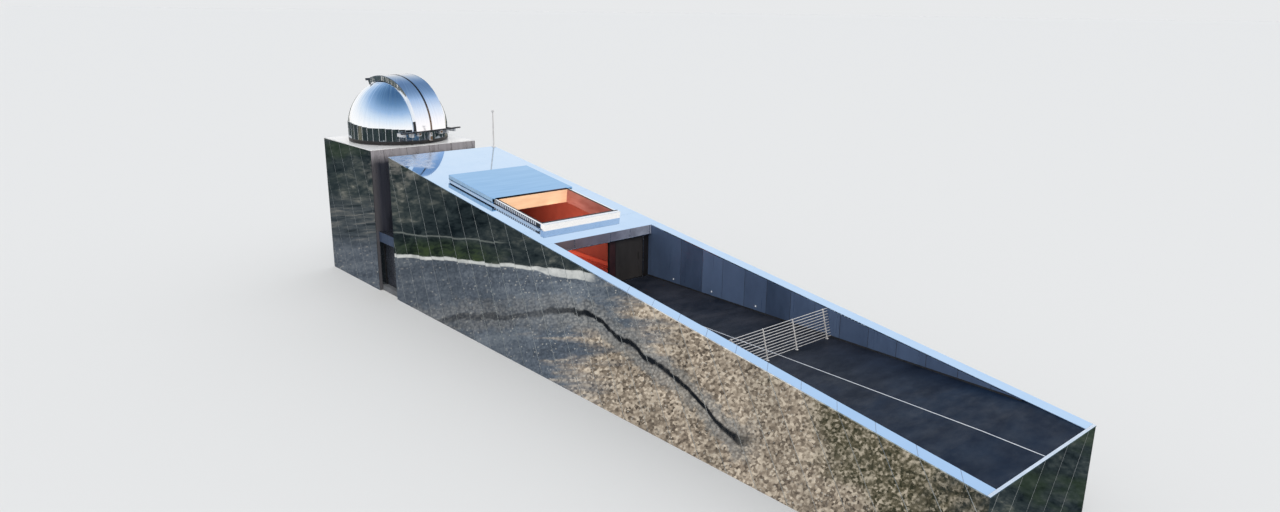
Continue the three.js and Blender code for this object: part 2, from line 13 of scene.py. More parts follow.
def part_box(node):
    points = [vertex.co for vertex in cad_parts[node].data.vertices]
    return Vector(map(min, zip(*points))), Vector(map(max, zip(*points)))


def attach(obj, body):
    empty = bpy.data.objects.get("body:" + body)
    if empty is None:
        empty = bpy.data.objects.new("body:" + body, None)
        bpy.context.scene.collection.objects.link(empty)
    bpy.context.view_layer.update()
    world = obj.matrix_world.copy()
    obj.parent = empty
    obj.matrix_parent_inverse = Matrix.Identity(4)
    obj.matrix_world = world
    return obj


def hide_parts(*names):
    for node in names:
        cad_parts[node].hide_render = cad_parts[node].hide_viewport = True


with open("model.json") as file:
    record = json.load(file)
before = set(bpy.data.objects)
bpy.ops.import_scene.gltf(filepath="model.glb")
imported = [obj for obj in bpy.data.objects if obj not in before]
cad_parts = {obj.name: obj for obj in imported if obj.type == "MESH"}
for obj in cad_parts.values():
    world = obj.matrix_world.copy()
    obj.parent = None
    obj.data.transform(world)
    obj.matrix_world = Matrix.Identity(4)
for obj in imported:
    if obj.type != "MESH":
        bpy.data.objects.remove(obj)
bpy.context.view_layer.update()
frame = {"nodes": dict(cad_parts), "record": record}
random.seed(11)

# Places shared with the CAD
TOWER_X = -10.75
LINK_X = -7.57
WING_X = -6.49
END_X = 10.75
NEAR_Y = -1.65
FAR_Y = 1.65
TOWER_TOP = 4.035
WING_TOP = 3.985
FALL = 0.134
SLOPE = atan(FALL)
LIP = 0.012
DECK = 0.02
ROOF_DEPTH = 0.215
ENTRY = 0.15
TERRACE = 1.78
LINK_TOP = 1.715
LINK_SOFFIT = 1.435
DOOR_HALF = 0.275
DOOR_TOP = ENTRY + 1.05
ROOF_EDGE_X = WING_X + 7.105
SCREEN_X = WING_X + 7.005
NEAR_INNER = NEAR_Y + 0.25
FAR_INNER = FAR_Y - 0.27
SOFFIT = WING_TOP - FALL * 7.105 - ROOF_DEPTH
HATCH = (4.43, 6.365, NEAR_Y + 0.48, NEAR_Y + 2.65)
CURB = 0.07
CURB_TOP = 0.125
DOME = Vector((-9.16, 0, 4.415))
DOME_R = 1.428
SLIT_HALF = 0.45
SLIT_FOOT = 3
SLIT_HEAD = 109
SLOPE_MATRIX = Matrix.Translation((WING_X, 0, WING_TOP)) @ Matrix.Rotation(SLOPE, 4, "Y")
DOME_MATRIX = Matrix.Translation(DOME) @ Matrix.Rotation(radians(11.7), 4, "Z")

# The joints between sheets were measured in units of the camera fit, UNIT metres each
UNIT = 0.44
JOINT_STEP = 1.6 * UNIT
JOINT_UNITS = [15.9 + 1.6 * k for k in range(-14, 22)]

# Cladding: depth of a sheet, width of a joint, height over the ground, and the smallest
# edge and area that a cut may leave
PANEL = 0.008
JOINT = 0.009
FOOT = 0.002
LEAST_EDGE = 0.004
LEAST_AREA = 0.002

HAIR = 0.001
SHARP = radians(35)


def roof_z(x):
    return WING_TOP - FALL * (x - WING_X)


def along_slope(x):
    return (x - WING_X) / cos(SLOPE)


def circle(count):
    turns = [tau * k / count for k in range(count)]
    return [(cos(turn), sin(turn)) for turn in turns]


# Shader helpers
class Signal:
    """A shader socket that adds, multiplies and so on like a number."""

    def __init__(self, socket):
        self.socket = socket
        self.node_tree = socket.id_data

    def maths(self, operation, other=None, clamp=False):
        return add_node(self, "Math", {0: self, 1: other}, operation=operation, use_clamp=clamp)

    def __add__(self, other):
        return self.maths("ADD", other)

    def __sub__(self, other):
        return self.maths("SUBTRACT", other)

    def __mul__(self, other):
        return self.maths("MULTIPLY", other)

    def __abs__(self):
        return self.maths("ABSOLUTE")

    def remap(self, low, high, at_low=0, at_high=1):
        return add_node(self, "MapRange", {0: self, 1: low, 2: high, 3: at_low, 4: at_high})

    def spread(self, at_low=0, at_high=1):
        """Remaps the usual reach of a noise."""
        return self.remap(0.3, 0.7, at_low, at_high)


def put(socket, value):
    """Links a signal to a socket, or sets a plain value on it."""
    if isinstance(value, Signal):
        value.node_tree.links.new(value.socket, socket)
    elif value is not None:
        socket.default_value = value


def rgba(colour):
    return colour if isinstance(colour, Signal) else (*colour, 1)


def add_node(owner, kind, values, output=0, **settings):
    """A new node in the owner's tree with its settings and inputs; gives one output."""
    node = owner.node_tree.nodes.new("ShaderNode" + kind)
    for key, value in settings.items():
        setattr(node, key, value)
    for key, value in values.items():
        put(node.inputs[key], value)
    return Signal(node.outputs[output])


def split(vector):
    parts = add_node(vector, "SeparateXYZ", {0: vector}).socket.node
    return [Signal(socket) for socket in parts.outputs]


def join(owner, x, y, z):
    return add_node(owner, "CombineXYZ", {0: x, 1: y, 2: z})


def position(owner):
    return add_node(owner, "TexCoord", {}, "Object")


def stretched(vector, scale):
    return add_node(vector, "Mapping", {0: vector, "Scale": scale})


def place(owner, scale=(1, 1, 1)):
    return stretched(position(owner), scale)


def noise(vector, scale, detail=3, rough=0.5, distortion=0):
    values = {"Vector": vector, "Scale": scale, "Detail": detail, "Roughness": rough,
              "Distortion": distortion}
    return add_node(vector, "TexNoise", values)


def cells(vector, scale):
    """Distance inside each cell, and the cell's own three random values."""
    distance = add_node(vector, "TexVoronoi", {"Vector": vector, "Scale": scale}, "Distance")
    return distance, split(Signal(distance.socket.node.outputs["Color"]))


def blend(factor, a, b):
    return add_node(factor, "Mix", {0: factor, 6: rgba(a), 7: rgba(b)}, 2, data_type="RGBA")


def patches(cloud, dark, light, low=0.3, high=0.7):
    return blend(cloud.remap(low, high), dark, light)


def ramp(value, *stops):
    result = add_node(value, "ValToRGB", {0: value})
    elements = result.socket.node.color_ramp.elements
    while len(elements) < len(stops):
        elements.new(0.5)
    for element, (at, colour) in zip(elements, stops):
        element.position = at
        element.color = (*colour, 1)
    return result


def bump(height, distance, under=None):
    values = {"Strength": 1, "Distance": distance, "Height": height, "Normal": under}
    return add_node(height, "Bump", values)


def leaning(owner, lean):
    """The surface's normal with a lean added to it."""
    normal = add_node(owner, "NewGeometry", {}, "Normal")
    return add_node(owner, "VectorMath", {0: normal, 1: lean}, operation="ADD")


def sheet_tone(owner):
    """Each sheet's own tone, kept on the mesh."""
    return add_node(owner, "Attribute", {}, "Fac", attribute_name="tone")


def new_material(name):
    mat = bpy.data.materials.new(name)
    mat.use_nodes = True
    mat.node_tree.nodes.clear()
    return mat


def surface(mat, colour, rough, metallic=0, normal=None, **others):
    values = {"Base Color": rgba(colour), "Roughness": rough, "Metallic": metallic, "Normal": normal}
    shader = add_node(mat, "BsdfPrincipled", {**values, **others})
    add_output(mat, "OutputMaterial", shader)
    return mat


def add_output(owner, kind, shader):
    output = owner.node_tree.nodes.new("ShaderNode" + kind)
    put(output.inputs[0], shader)


# Materials
def sheet_metal(name, light, dark, rough, wave, wave_height, stretch=(1, 1, 1), grain=0):
    """Polished sheet: cloudy tone, uneven polish and slightly wavy reflections."""
    mat = new_material(name)
    where = place(mat, stretch)
    tint = patches(noise(where, 1.7, 5, 0.6), dark, light)
    normal = bump(noise(place(mat), wave, 2, 0.4), wave_height)
    if grain:
        normal = bump(noise(place(mat, (4, 120, 120)), 1, 3, 0.6), grain, normal)
    return surface(mat, tint, noise(where, 9, 4, 0.65).remap(0.3, 0.75, *rough), 1, normal)


def coated(name, light, dark, rough, scale=3, metallic=0, speck=0.0006, stretch=(1, 1, 1), coat=0):
    """Paint, coating or concrete: soft patches of tone with a fine tooth."""
    mat = new_material(name)
    where = place(mat, stretch)
    tint = patches(noise(where, scale, 6, 0.62, 0.3), dark, light, 0.32, 0.68)
    polish = noise(where, scale * 2.3, 4, 0.6).spread(*rough)
    tooth = bump(noise(where, 160, 2, 0.5), speck)
    return surface(mat, tint, polish, metallic, tooth, **{"Coat Weight": coat})


def mirror_panels(name, light, dark, rough, swing):
    """Mirror sheets that each hang at a slightly different angle, set by the mesh."""
    mat = new_material(name)
    tone = sheet_tone(mat)
    cloud = noise(place(mat, (1, 1, 0.4)), 1.5, 5, 0.6)
    mixed = cloud.maths("ADD", tone.remap(0, 1, -0.22, 0.22), clamp=True)
    smear = noise(place(mat, (5, 5, 0.8)), 2, 5, 0.65)
    angles = [(tone * rate).maths("FRACT").remap(0, 1, -swing, swing) for rate in (7.31, 13.77, 3.19)]
    waves = noise(place(mat, (1, 1, 0.6)), 1.3, 2, 0.4)
    normal = bump(waves, 0.0005, leaning(mat, join(mat, *angles)))
    return surface(mat, blend(mixed, dark, light), smear.remap(0.35, 0.75, *rough), 1, normal)


def tone_panels(name, light, dark, rough):
    """Satin wall sheets that each have a tone of their own."""
    mat = new_material(name)
    drift = noise(place(mat, (1, 1, 0.45)), 2.2, 5, 0.6).spread(-0.16, 0.16)
    mixed = sheet_tone(mat).maths("ADD", drift, clamp=True)
    streak = noise(place(mat, (14, 14, 0.7)), 1, 4, 0.6)
    return surface(mat, blend(mixed, dark, light), streak.spread(*rough), 0.25, bump(streak, 0.0012))


def bright_sheet(name, light, dark, lift):
    """White-enamelled sheet with a soft shine that looks up by the given lift."""
    mat = new_material(name)
    cloud = noise(place(mat), 2.2, 5, 0.6)
    normal = bump(cloud, 0.002, leaning(mat, (0, 0, lift)))
    return surface(mat, patches(cloud, dark, light), cloud.spread(0.16, 0.3), 0.8, normal)


def glowing(name, colour, strength):
    """A lit strip, brighter and duller along its length."""
    mat = new_material(name)
    cloud = noise(place(mat, (1, 3, 3)), 1.4, 3, 0.5)
    tint = patches(cloud, [part * 0.8 for part in colour], colour)
    return surface(mat, tint, 0.5, **{"Emission Color": tint, "Emission Strength": strength})


def roof_metal(name, light, dark, painted_tower_reflection_tint):
    """Polished roof sheet, duller on a patch beside the tower that two lines bound; the patch's tint is a
    painted reflection of the tower.
    """
    mat = new_material(name)
    x, y = split(position(mat))[:2]
    cloud = noise(place(mat), 1.7, 5, 0.6)
    smear = noise(place(mat), 9, 4, 0.65)
    dull_patch_painted_reflection = smear.remap(0.35, 0.6, 0.55, 1.1)
    for (px, py), (nx, ny) in (((-6.182, -0.275), (0.568, 0.823)), ((-4.968, -1.114), (0.72, -0.694))):
        past = (x - px) * nx + (y - py) * ny + cloud.spread(-0.1, 0.1)
        dull_patch_painted_reflection = dull_patch_painted_reflection * past.remap(-0.14, 0, 1, 0)
    # The patch's tint is painted reflection of the tower in the roof
    tint = blend(dull_patch_painted_reflection, patches(cloud, dark, light), painted_tower_reflection_tint)
    polish = smear.remap(0.3, 0.75, 0.015, 0.06) + dull_patch_painted_reflection * 0.2
    waves = noise(place(mat), 0.8, 2, 0.4)
    return surface(mat, tint, polish, dull_patch_painted_reflection.remap(0, 1, 1, 0.65), bump(waves, 0.0015))


def dome_metal(name, light, dark, lift, streaks, crown=(1, 1, 1), settle=0):
    """Polished sheet with fine streaks up the meridians. They grow towards the crown. The colour
    goes from light at the foot to a streaky dark tint higher up, and takes the crown tint near
    the top: painted reflection of a pale horizon and a deep blue sky. At the foot the sheet
    looks up by the lift, which settles to its second value higher up."""
    mat = new_material(name)
    x, y, z = split(position(mat))

    def climb(low, high, at_low, at_high):
        return z.remap(DOME.z + DOME_R * low, DOME.z + DOME_R * high, at_low, at_high)

    turn = y.maths("ARCTAN2", x - DOME.x)
    fine = noise(join(mat, turn * 26, z * 0.6, 0), 1, 5, 0.7)
    # Painted reflection: light at the foot, streaky and darker higher up, with the crown tint near the top
    shade = fine.remap(0.32, 0.68, 1, 0) * climb(0, 0.75, 0.3, 1)
    high = climb(0.62, 0.9, 0, 1)
    painted_reflection_tints = [blend(high, colour, [a * b for a, b in zip(colour, crown)]) for colour in (light, dark)]
    streak = fine.remap(0.32, 0.68, -1, 1) * climb(0, 1, *streaks)
    up = climb(0, 0.6, lift, settle) * climb(0.6, 0.9, 1, 0)
    lean = leaning(mat, join(mat, 0, 0, streak + up))
    normal = bump(noise(place(mat), 1.2, 3, 0.5), 0.006, lean)
    return surface(mat, blend(shade, *painted_reflection_tints), fine.remap(0.3, 0.75, 0.03, 0.12), 1, normal)


def shaded_satin(name):
    """Satin wall sheets with a painted reflection of a pale sky along the top edge and a dark slate
    below it that is painted shade and painted reflection of dark ground, with a lighter strip
    beside the near corner."""
    mat = new_material(name)
    y, z = split(position(mat))[1:]
    cloud = noise(place(mat, (3, 3, 0.4)), 1.6, 5, 0.6)
    # Painted reflection: pale along the top edge; the dark slate below is painted shade and painted
    # reflection of dark ground
    pale = patches(cloud, (0.48, 0.45, 0.47), (0.64, 0.605, 0.63))
    slate = patches(cloud, (0.045, 0.05, 0.068), (0.09, 0.095, 0.125), 0.35, 0.65)
    corner = y.remap(NEAR_Y + 0.06, NEAR_Y + 0.24, 1, 0)
    slate = blend(corner * 0.75, slate, (0.21, 0.2, 0.21))
    height = z + cloud.spread(-0.04, 0.04)
    tint = blend(height.remap(TOWER_TOP - 0.42, TOWER_TOP - 0.17), slate, pale)
    return surface(mat, tint, cloud.spread(0.24, 0.36), 0.5, bump(cloud, 0.001))


def shaded_fascia(name):
    """Satin edge sheets with a painted reflection: warm grey at the near end, a pale blue-grey at the far
    end, with darker patches.
    """
    mat = new_material(name)
    y = split(position(mat))[1]
    cloud = noise(place(mat, (1, 1.6, 1.6)), 1.7, 5, 0.6)
    along = (y + cloud.spread(-0.2, 0.2)).remap(NEAR_INNER, FAR_INNER)
    # Painted reflection along the sheets, warm at the near end and pale blue-grey at the far end; the darker
    # patches are painted reflection of the dark floor
    tint = ramp(along, (0.1, (0.34, 0.25, 0.265)), (0.6, (0.29, 0.3, 0.4)), (0.93, (0.6, 0.64, 0.75)))
    tint = blend(cloud.remap(0.3, 0.6, 0.5, 0), tint, (0.16, 0.165, 0.2))
    tooth = bump(noise(place(mat), 160, 2, 0.5), 0.0002)
    return surface(mat, tint, cloud.spread(0.12, 0.28), 0.55, tooth)


def terrace_screed(name):
    """Dark screed in broad patches, darker and bluer towards the low end."""
    mat = new_material(name)
    x = split(position(mat))[0]
    where = place(mat, (1, 0.45, 1))
    cloud = noise(where, 1.9, 6, 0.62, 0.3)
    upper_end_tone = patches(cloud, (0.008, 0.011, 0.018), (0.036, 0.038, 0.048), 0.32, 0.68)
    low_end_tone = patches(cloud, (0.002, 0.007, 0.02), (0.01, 0.021, 0.043), 0.32, 0.68)
    tint = blend((x + cloud.spread(-0.7, 0.7)).remap(5.5, 9.3), upper_end_tone, low_end_tone)
    polish = noise(where, 4.4, 4, 0.6).spread(0.4, 0.7)
    tooth = bump(noise(where, 160, 2, 0.5), 0.002)
    return surface(mat, tint, polish, normal=tooth, **{"Specular IOR Level": 0.14})


def seam_metal(name):
    """Weather strip over the shutters' seam: bronze at the foot, black towards the top."""
    mat = new_material(name)
    z = split(position(mat))[2]
    cloud = noise(place(mat), 3, 4, 0.6)
    climb = (z + cloud.spread(-0.15, 0.15)).remap(DOME.z + 0.2, DOME.z + 0.85)
    tint = blend(climb, (0.3, 0.19, 0.12), (0.02, 0.021, 0.025))
    return surface(mat, tint, cloud.spread(0.3, 0.48), 0.7, bump(cloud, 0.002))


def clear_glass(name):
    mat = new_material(name)
    smear = noise(place(mat), 5, 4, 0.6)
    return surface(mat, (0.93, 0.95, 0.95), smear.spread(0, 0.03),
                   **{"Transmission Weight": 1, "IOR": 1.12})


MIRROR = mirror_panels("mirror_facade", (0.38, 0.4, 0.41), (0.25, 0.27, 0.28), (0, 0.03), 0.0006)
SATIN_PAINTED_REFLECTION_SHADE = shaded_satin("satin_facade_painted_reflection_and_shade")
FASCIA_PAINTED_REFLECTION = shaded_fascia("fascia_steel_painted_reflection")
# The last colour is the painted reflection of the tower on the roof patch
ROOF = roof_metal("roof_steel", (0.64, 0.77, 0.92), (0.58, 0.73, 0.9), (0.72, 0.75, 0.83))
ROOF_SEAM = coated("roof_seam", (0.3, 0.37, 0.48), (0.2, 0.26, 0.36), (0.3, 0.5), 4, 0.5)
ROOF_END = coated("roof_end_steel", (0.8, 0.84, 0.9), (0.66, 0.71, 0.78), (0.16, 0.3), 3, 0.6, 0.0002)
COVER_SIDE = coated("cover_side_sheet", (0.42, 0.58, 0.71), (0.33, 0.48, 0.63), (0.2, 0.35), 2.5, 0.3, 0.0002)
COVER = sheet_metal("cover_steel", (0.29, 0.52, 0.78), (0.225, 0.45, 0.715), (0.01, 0.05), 0.8, 0.0012,
                    stretch=(6, 0.5, 1))
# Dome and shutter colours go from white at the foot to blue higher up, and the shutters' crown tint darkens
# their top: painted reflection of the horizon and the deep blue sky
DOME_STEEL = dome_metal("dome_steel", (0.99, 0.98, 0.97), (0.54, 0.66, 0.8), 0.17, (0.03, 0.12))
SHUTTER_STEEL = dome_metal("shutter_steel", (1, 0.97, 0.98), (0.74, 0.76, 0.84), 0.17, (0.02, 0.05),
                           crown=(0.41, 0.48, 0.56), settle=-0.06)
SKIRT_STEEL = dome_metal("skirt_steel", (0.36, 0.41, 0.45), (0.14, 0.17, 0.2), 0, (0.05, 0.05))
STAINLESS = sheet_metal("stainless", (0.72, 0.74, 0.77), (0.6, 0.62, 0.66), (0.18, 0.34), 2, 0.001,
                        grain=0.0003)
PALE_STEEL = coated("pale_steel", (0.82, 0.83, 0.85), (0.66, 0.67, 0.7), (0.3, 0.48), 5, 0.35, 0.0002)
END_BOX = bright_sheet("end_box_sheet", (0.97, 0.965, 0.96), (0.88, 0.88, 0.875), 0.35)
MAST_STEEL = coated("mast_steel", (0.78, 0.75, 0.72), (0.62, 0.6, 0.58), (0.3, 0.45), 9, 0.3, 0.0002)
SHADE = coated("shaded_sheet", (0.06, 0.066, 0.086), (0.03, 0.034, 0.046), (0.2, 0.34), 2.2, 0.5, 0.0003)
WHITE = coated("white_sheet", (0.9, 0.89, 0.87), (0.8, 0.79, 0.78), (0.25, 0.42), 1.6, coat=0.3)
LINING = tone_panels("terrace_lining", (0.15, 0.22, 0.37), (0.045, 0.07, 0.125), (0.26, 0.46))
# Painted light: the peach boards are white boards lit by warm light, and the far board's dark red is the same
# board in painted shade under the red light
WARM_LIT_REVEAL = coated("hatch_reveal", (0.93, 0.72, 0.5), (0.86, 0.61, 0.4), (0.4, 0.6), 2, stretch=(1, 1, 5))
SHADED_FAR_REVEAL = coated("hatch_reveal_far_painted_shade", (0.4, 0.17, 0.15), (0.27, 0.085, 0.07), (0.3, 0.45), 2,
                    stretch=(1, 1, 4), coat=0.3)
TERRACE_FLOOR = terrace_screed("terrace_floor")
# The room's red floor and walls are painted red light of the red-lit room
RED_LIT_ROOM_FLOOR = coated("room_floor", (0.62, 0.09, 0.055), (0.44, 0.05, 0.035), (0.2, 0.36), 1.5, coat=0.4)
RED_LIT_ROOM_WALL = coated("room_wall_painted_red_light", (0.42, 0.12, 0.085), (0.3, 0.08, 0.06), (0.4, 0.55), 1)
CONCRETE = coated("concrete", (0.17, 0.175, 0.185), (0.1, 0.105, 0.115), (0.75, 0.95), 2.4, speck=0.002)
PLASTER = coated("plaster", (0.62, 0.61, 0.59), (0.52, 0.51, 0.5), (0.7, 0.9), 1.4, speck=0.001)
DARK = coated("dark_frame", (0.022, 0.02, 0.02), (0.012, 0.011, 0.011), (0.32, 0.5), 6, 0.3)
POST = coated("screen_post", (0.04, 0.014, 0.015), (0.022, 0.009, 0.011), (0.35, 0.5), 5)
DOOR = coated("door_panel", (0.05, 0.045, 0.043), (0.032, 0.029, 0.028), (0.38, 0.55), 3, 0.2,
              stretch=(1, 1, 0.3))
GLASS = clear_glass("clear_glass")
JOINT_LINE = coated("joint_line", (0.8, 0.83, 0.8), (0.1, 0.11, 0.11), (0.3, 0.5), 0.9, 0.5)
JOINT_FAINT = coated("joint_faint", (0.3, 0.32, 0.32), (0.06, 0.065, 0.07), (0.3, 0.5), 0.9, 0.5)
DARK_STEEL = coated("dark_steel", (0.11, 0.11, 0.12), (0.05, 0.05, 0.055), (0.3, 0.45), 7, 0.8, 0.0003)
SEAL = coated("seal", (0.03, 0.03, 0.032), (0.018, 0.018, 0.02), (0.5, 0.7), 8)
BRONZE = seam_metal("seam_bronze")
# A glowing strip that is no lamp: painted light, the bright band of light on the room's floor by the far wall
PAINTED_LIGHT_STRIP = glowing("room_floor_painted_light", (0.7, 0.12, 0.07), 0.12)
LAMP = glowing("lamp_lens", (0.85, 0.88, 0.92), 0.35)

SLOT_FINISH = {
    "mirror_facade": MIRROR, "roof_steel": ROOF, "cover_steel": COVER, "white_sheet": WHITE,
    "dome_steel": DOME_STEEL, "terrace_lining": LINING, "hatch_reveal": WARM_LIT_REVEAL,
    "terrace_floor": TERRACE_FLOOR, "room_floor": RED_LIT_ROOM_FLOOR, "concrete": CONCRETE,
    "dark_frame": DARK, "screen_post": POST, "clear_glass": GLASS, "door_panel": DOOR,
    "stainless": STAINLESS,
}


# Mesh helpers
class Shape:
    """Points and faces gathered into one piece and placed by its matrix; each face has a
    material number and a tone."""

    def __init__(self, matrix=Matrix()):
        self.matrix = matrix
        self.points, self.faces, self.numbers, self.tones = [], [], [], []

    def add(self, points, faces, number=0, tone=0.5):
        start = len(self.points)
        self.points += [tuple(self.matrix @ Vector(point)) for point in points]
        self.faces += [[start + i for i in face] for face in faces]
        self.numbers += [number] * len(faces)
        self.tones += [tone] * len(faces)

    def box(self, x0, x1, y0, y1, z0, z1, number=0, matrix=Matrix()):
        xs, ys, zs = sorted((x0, x1)), sorted((y0, y1)), sorted((z0, z1))
        points = [matrix @ Vector((x, y, z)) for z in zs for y in ys for x in xs]
        faces = [(0, 2, 3, 1), (4, 5, 7, 6), (0, 1, 5, 4), (2, 6, 7, 3), (0, 4, 6, 2), (1, 3, 7, 5)]
        self.add(points, faces, number)

    def loft(self, rings, number=0, tone=0.5, closed=False):
        """Joins rings of equal count; the last one meets the first, or both ends are capped."""
        n, last = len(rings[0]), len(rings) - 1
        faces = []
        for i in range(last + closed):
            a, b = i * n, (i + 1) % len(rings) * n
            faces += [(a + j, a + (j + 1) % n, b + (j + 1) % n, b + j) for j in range(n)]
        if not closed:
            faces += [range(n)[::-1], range(last * n, last * n + n)]
        self.add([point for ring in rings for point in ring], faces, number, tone)

    def hoop(self, section, count, number=0):
        """A closed ring round the upright axis; the section is (radius, height)."""
        self.loft([upright(section, tau * k / count) for k in range(count)], number, closed=True)


def upright(section, turn):
    return [(r * cos(turn), r * sin(turn), z) for r, z in section]


def new_object(name, data):
    item = bpy.data.objects.new(name, data)
    bpy.context.scene.collection.objects.link(item)
    return item


def soften(piece, width):
    rounding = piece.modifiers.new("rounding", "BEVEL")
    rounding.width = width
    rounding.segments = 2
    rounding.limit_method = "ANGLE"
    rounding.angle_limit = SHARP
    rounding.harden_normals = False


def finish(mesh, work, materials, slot, bevel=0, body="root", replaces=None, matrix=Matrix()):
    """Smooth faces between sharp edges, as a piece that rides on its body."""
    bmesh.ops.recalc_face_normals(work, faces=work.faces)
    for face in work.faces:
        face.smooth = True
    for edge in work.edges:
        edge.smooth = len(edge.link_faces) == 2 and edge.calc_face_angle(0) < SHARP
    work.transform(matrix)
    work.to_mesh(mesh)
    work.free()
    for material in materials:
        mesh.materials.append(material)
    piece = new_object(mesh.name, mesh)
    if bevel:
        soften(piece, bevel)
    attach(piece, body)
    if replaces:
        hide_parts(replaces)


def make(name, shape, *looks, **options):
    """A piece from a shape; what follows goes to finish."""
    mesh = bpy.data.meshes.new(name)
    mesh.from_pydata(shape.points, [], shape.faces)
    mesh.polygons.foreach_set("material_index", shape.numbers)
    mesh.attributes.new("tone", "FLOAT", "FACE").data.foreach_set("value", shape.tones)
    work = bmesh.new()
    work.from_mesh(mesh)
    finish(mesh, work, *looks, **options)


def about(middle, reach):
    return middle - reach, middle + reach


def inset(rectangle, by):
    """A rectangle (a0, a1, b0, b1) with its sides moved inwards."""
    a0, a1, b0, b1 = rectangle
    return a0 + by, a1 - by, b0 + by, b1 - by


def rim(outer, inner):
    """The four rectangles between an outer and an inner one."""
    a0, a1, b0, b1 = outer
    c0, c1, d0, d1 = inner
    return [(a0, a1, b0, d0), (a0, a1, d1, b1), (a0, c0, d0, d1), (c1, a1, d0, d1)]


def oblong(a0, a1, b0, b1):
    return [(a0, b0), (a1, b0), (a1, b1), (a0, b1)]


def under_roof(x0, x1, floor, below):
    """An upright panel whose top keeps a distance below the wing's roof."""
    return [(x0, floor), (x1, floor), (x1, roof_z(x1) - below), (x0, roof_z(x0) - below)]


def on_x(x, way):
    """Places (y, z, depth) on a plane across the building; depth goes the given way."""
    return lambda u, v, depth: (x + way * depth, u, v)


def on_y(y, way):
    """Places (x, z, depth) on a plane along the building; depth goes the given way."""
    return lambda u, v, depth: (u, y + way * depth, v)


def clip(polygon, point, normal):
    """The part of a flat polygon on the side that the normal points to."""
    ahead = [(u - point[0]) * normal[0] + (v - point[1]) * normal[1] for u, v in polygon]
    kept = []
    for i, (u, v) in enumerate(polygon):
        here, back = ahead[i], ahead[i - 1]
        if back > 0 > here or back < 0 < here:
            share = back / (back - here)
            u_back, v_back = polygon[i - 1]
            kept.append((u_back + (u - u_back) * share, v_back + (v - v_back) * share))
        if here >= 0:
            kept.append((u, v))
    kept = [p for i, p in enumerate(kept) if dist(p, kept[i - 1]) > LEAST_EDGE]
    return kept if len(kept) > 2 else []


def area(polygon):
    return sum(a[0] * b[1] - b[0] * a[1] for a, b in zip(polygon, polygon[1:] + polygon[:1])) / 2


def shrink(polygon, by):
    """A convex polygon, counter-clockwise, with each edge moved inwards."""
    inner = []
    for i, (u, v) in enumerate(polygon):
        (u0, v0), (u1, v1) = polygon[i - 1], polygon[(i + 1) % len(polygon)]
        n0, n1 = Vector((v0 - v, u - u0)).normalized(), Vector((v - v1, u1 - u)).normalized()
        turn = 1 + n0.dot(n1)
        shift = (n0 + n1) * (by / turn) if turn > 0.15 else n0 * by
        inner.append((u + shift.x, v + shift.y))
    return inner


def cut(outline, joints):
    """Cuts an outline by slanted lines (u, v, lean in degrees; positive leans right
    going down), from left to right, and gives the panels and the joint strips."""
    panels, seams = [], []
    for u, v, lean in joints:
        ahead = (cos(radians(lean)), sin(radians(lean)))
        back = (-ahead[0], -ahead[1])
        first = (u - ahead[0] * JOINT / 2, v - ahead[1] * JOINT / 2)
        second = (u + ahead[0] * JOINT / 2, v + ahead[1] * JOINT / 2)
        left, right = clip(outline, first, back), clip(outline, second, ahead)
        seam = clip(clip(outline, first, ahead), second, back)
        if left and area(left) > LEAST_AREA:
            panels.append(left)
        if seam and left and right:
            seams.append(seam)
        if not right:
            return panels, seams
        outline = right
    return [*panels, outline], seams


def plate(shape, polygon, plane, thickness, edge=0.0015, tilt=0, number=0, tone=0.5):
    """A thin sheet with a fine chamfer, tilted a little at random; the plane takes
    (u, v, depth outwards)."""
    cu, cv = [sum(values) / len(polygon) for values in zip(*polygon)]
    reach = max(max(abs(u - cu), abs(v - cv)) for u, v in polygon)
    ta, tb = random.uniform(-tilt, tilt) / reach, random.uniform(-tilt, tilt) / reach
    deep = [thickness + ta * (u - cu) + tb * (v - cv) for u, v in polygon]
    rings = [
        [plane(u, v, 0) for u, v in polygon],
        [plane(u, v, depth - edge) for (u, v), depth in zip(polygon, deep)],
        [plane(u, v, depth) for (u, v), depth in zip(shrink(polygon, edge), deep)],
    ]
    shape.loft(rings, number, tone)


def strip(shape, seam, plane, height, number):
    shape.loft([[plane(u, v, depth) for u, v in seam] for depth in (0, height)], number)


def cladding(name, faces, materials=(MIRROR, JOINT_LINE)):
    """Panels and joint strips on one or more faces: (outline, joints, plane)."""
    shape = Shape()
    for outline, joints, plane in faces:
        panels, seams = cut(outline, joints)
        for panel in panels:
            tone = random.random()
            plate(shape, panel, plane, PANEL, tilt=0.0009, tone=tone)
        for seam in seams:
            strip(shape, seam, plane, PANEL * 0.55, 1)
    make(name, shape, materials, "mirror_facade")


# Stage, light and camera
def build_stage():
    paper = surface(new_material("stage_paper"), (0.74, 0.74, 0.73), 0.95, **{"Specular IOR Level": 0.1})
    far = 2500
    mesh = bpy.data.meshes.new("stage_floor")
    mesh.from_pydata([(x, y, 0) for x, y in oblong(-far, far, -far, far)], [], [(0, 1, 2, 3)])
    mesh.materials.append(paper)
    floor = new_object("stage_floor", mesh)
    floor.visible_glossy = False


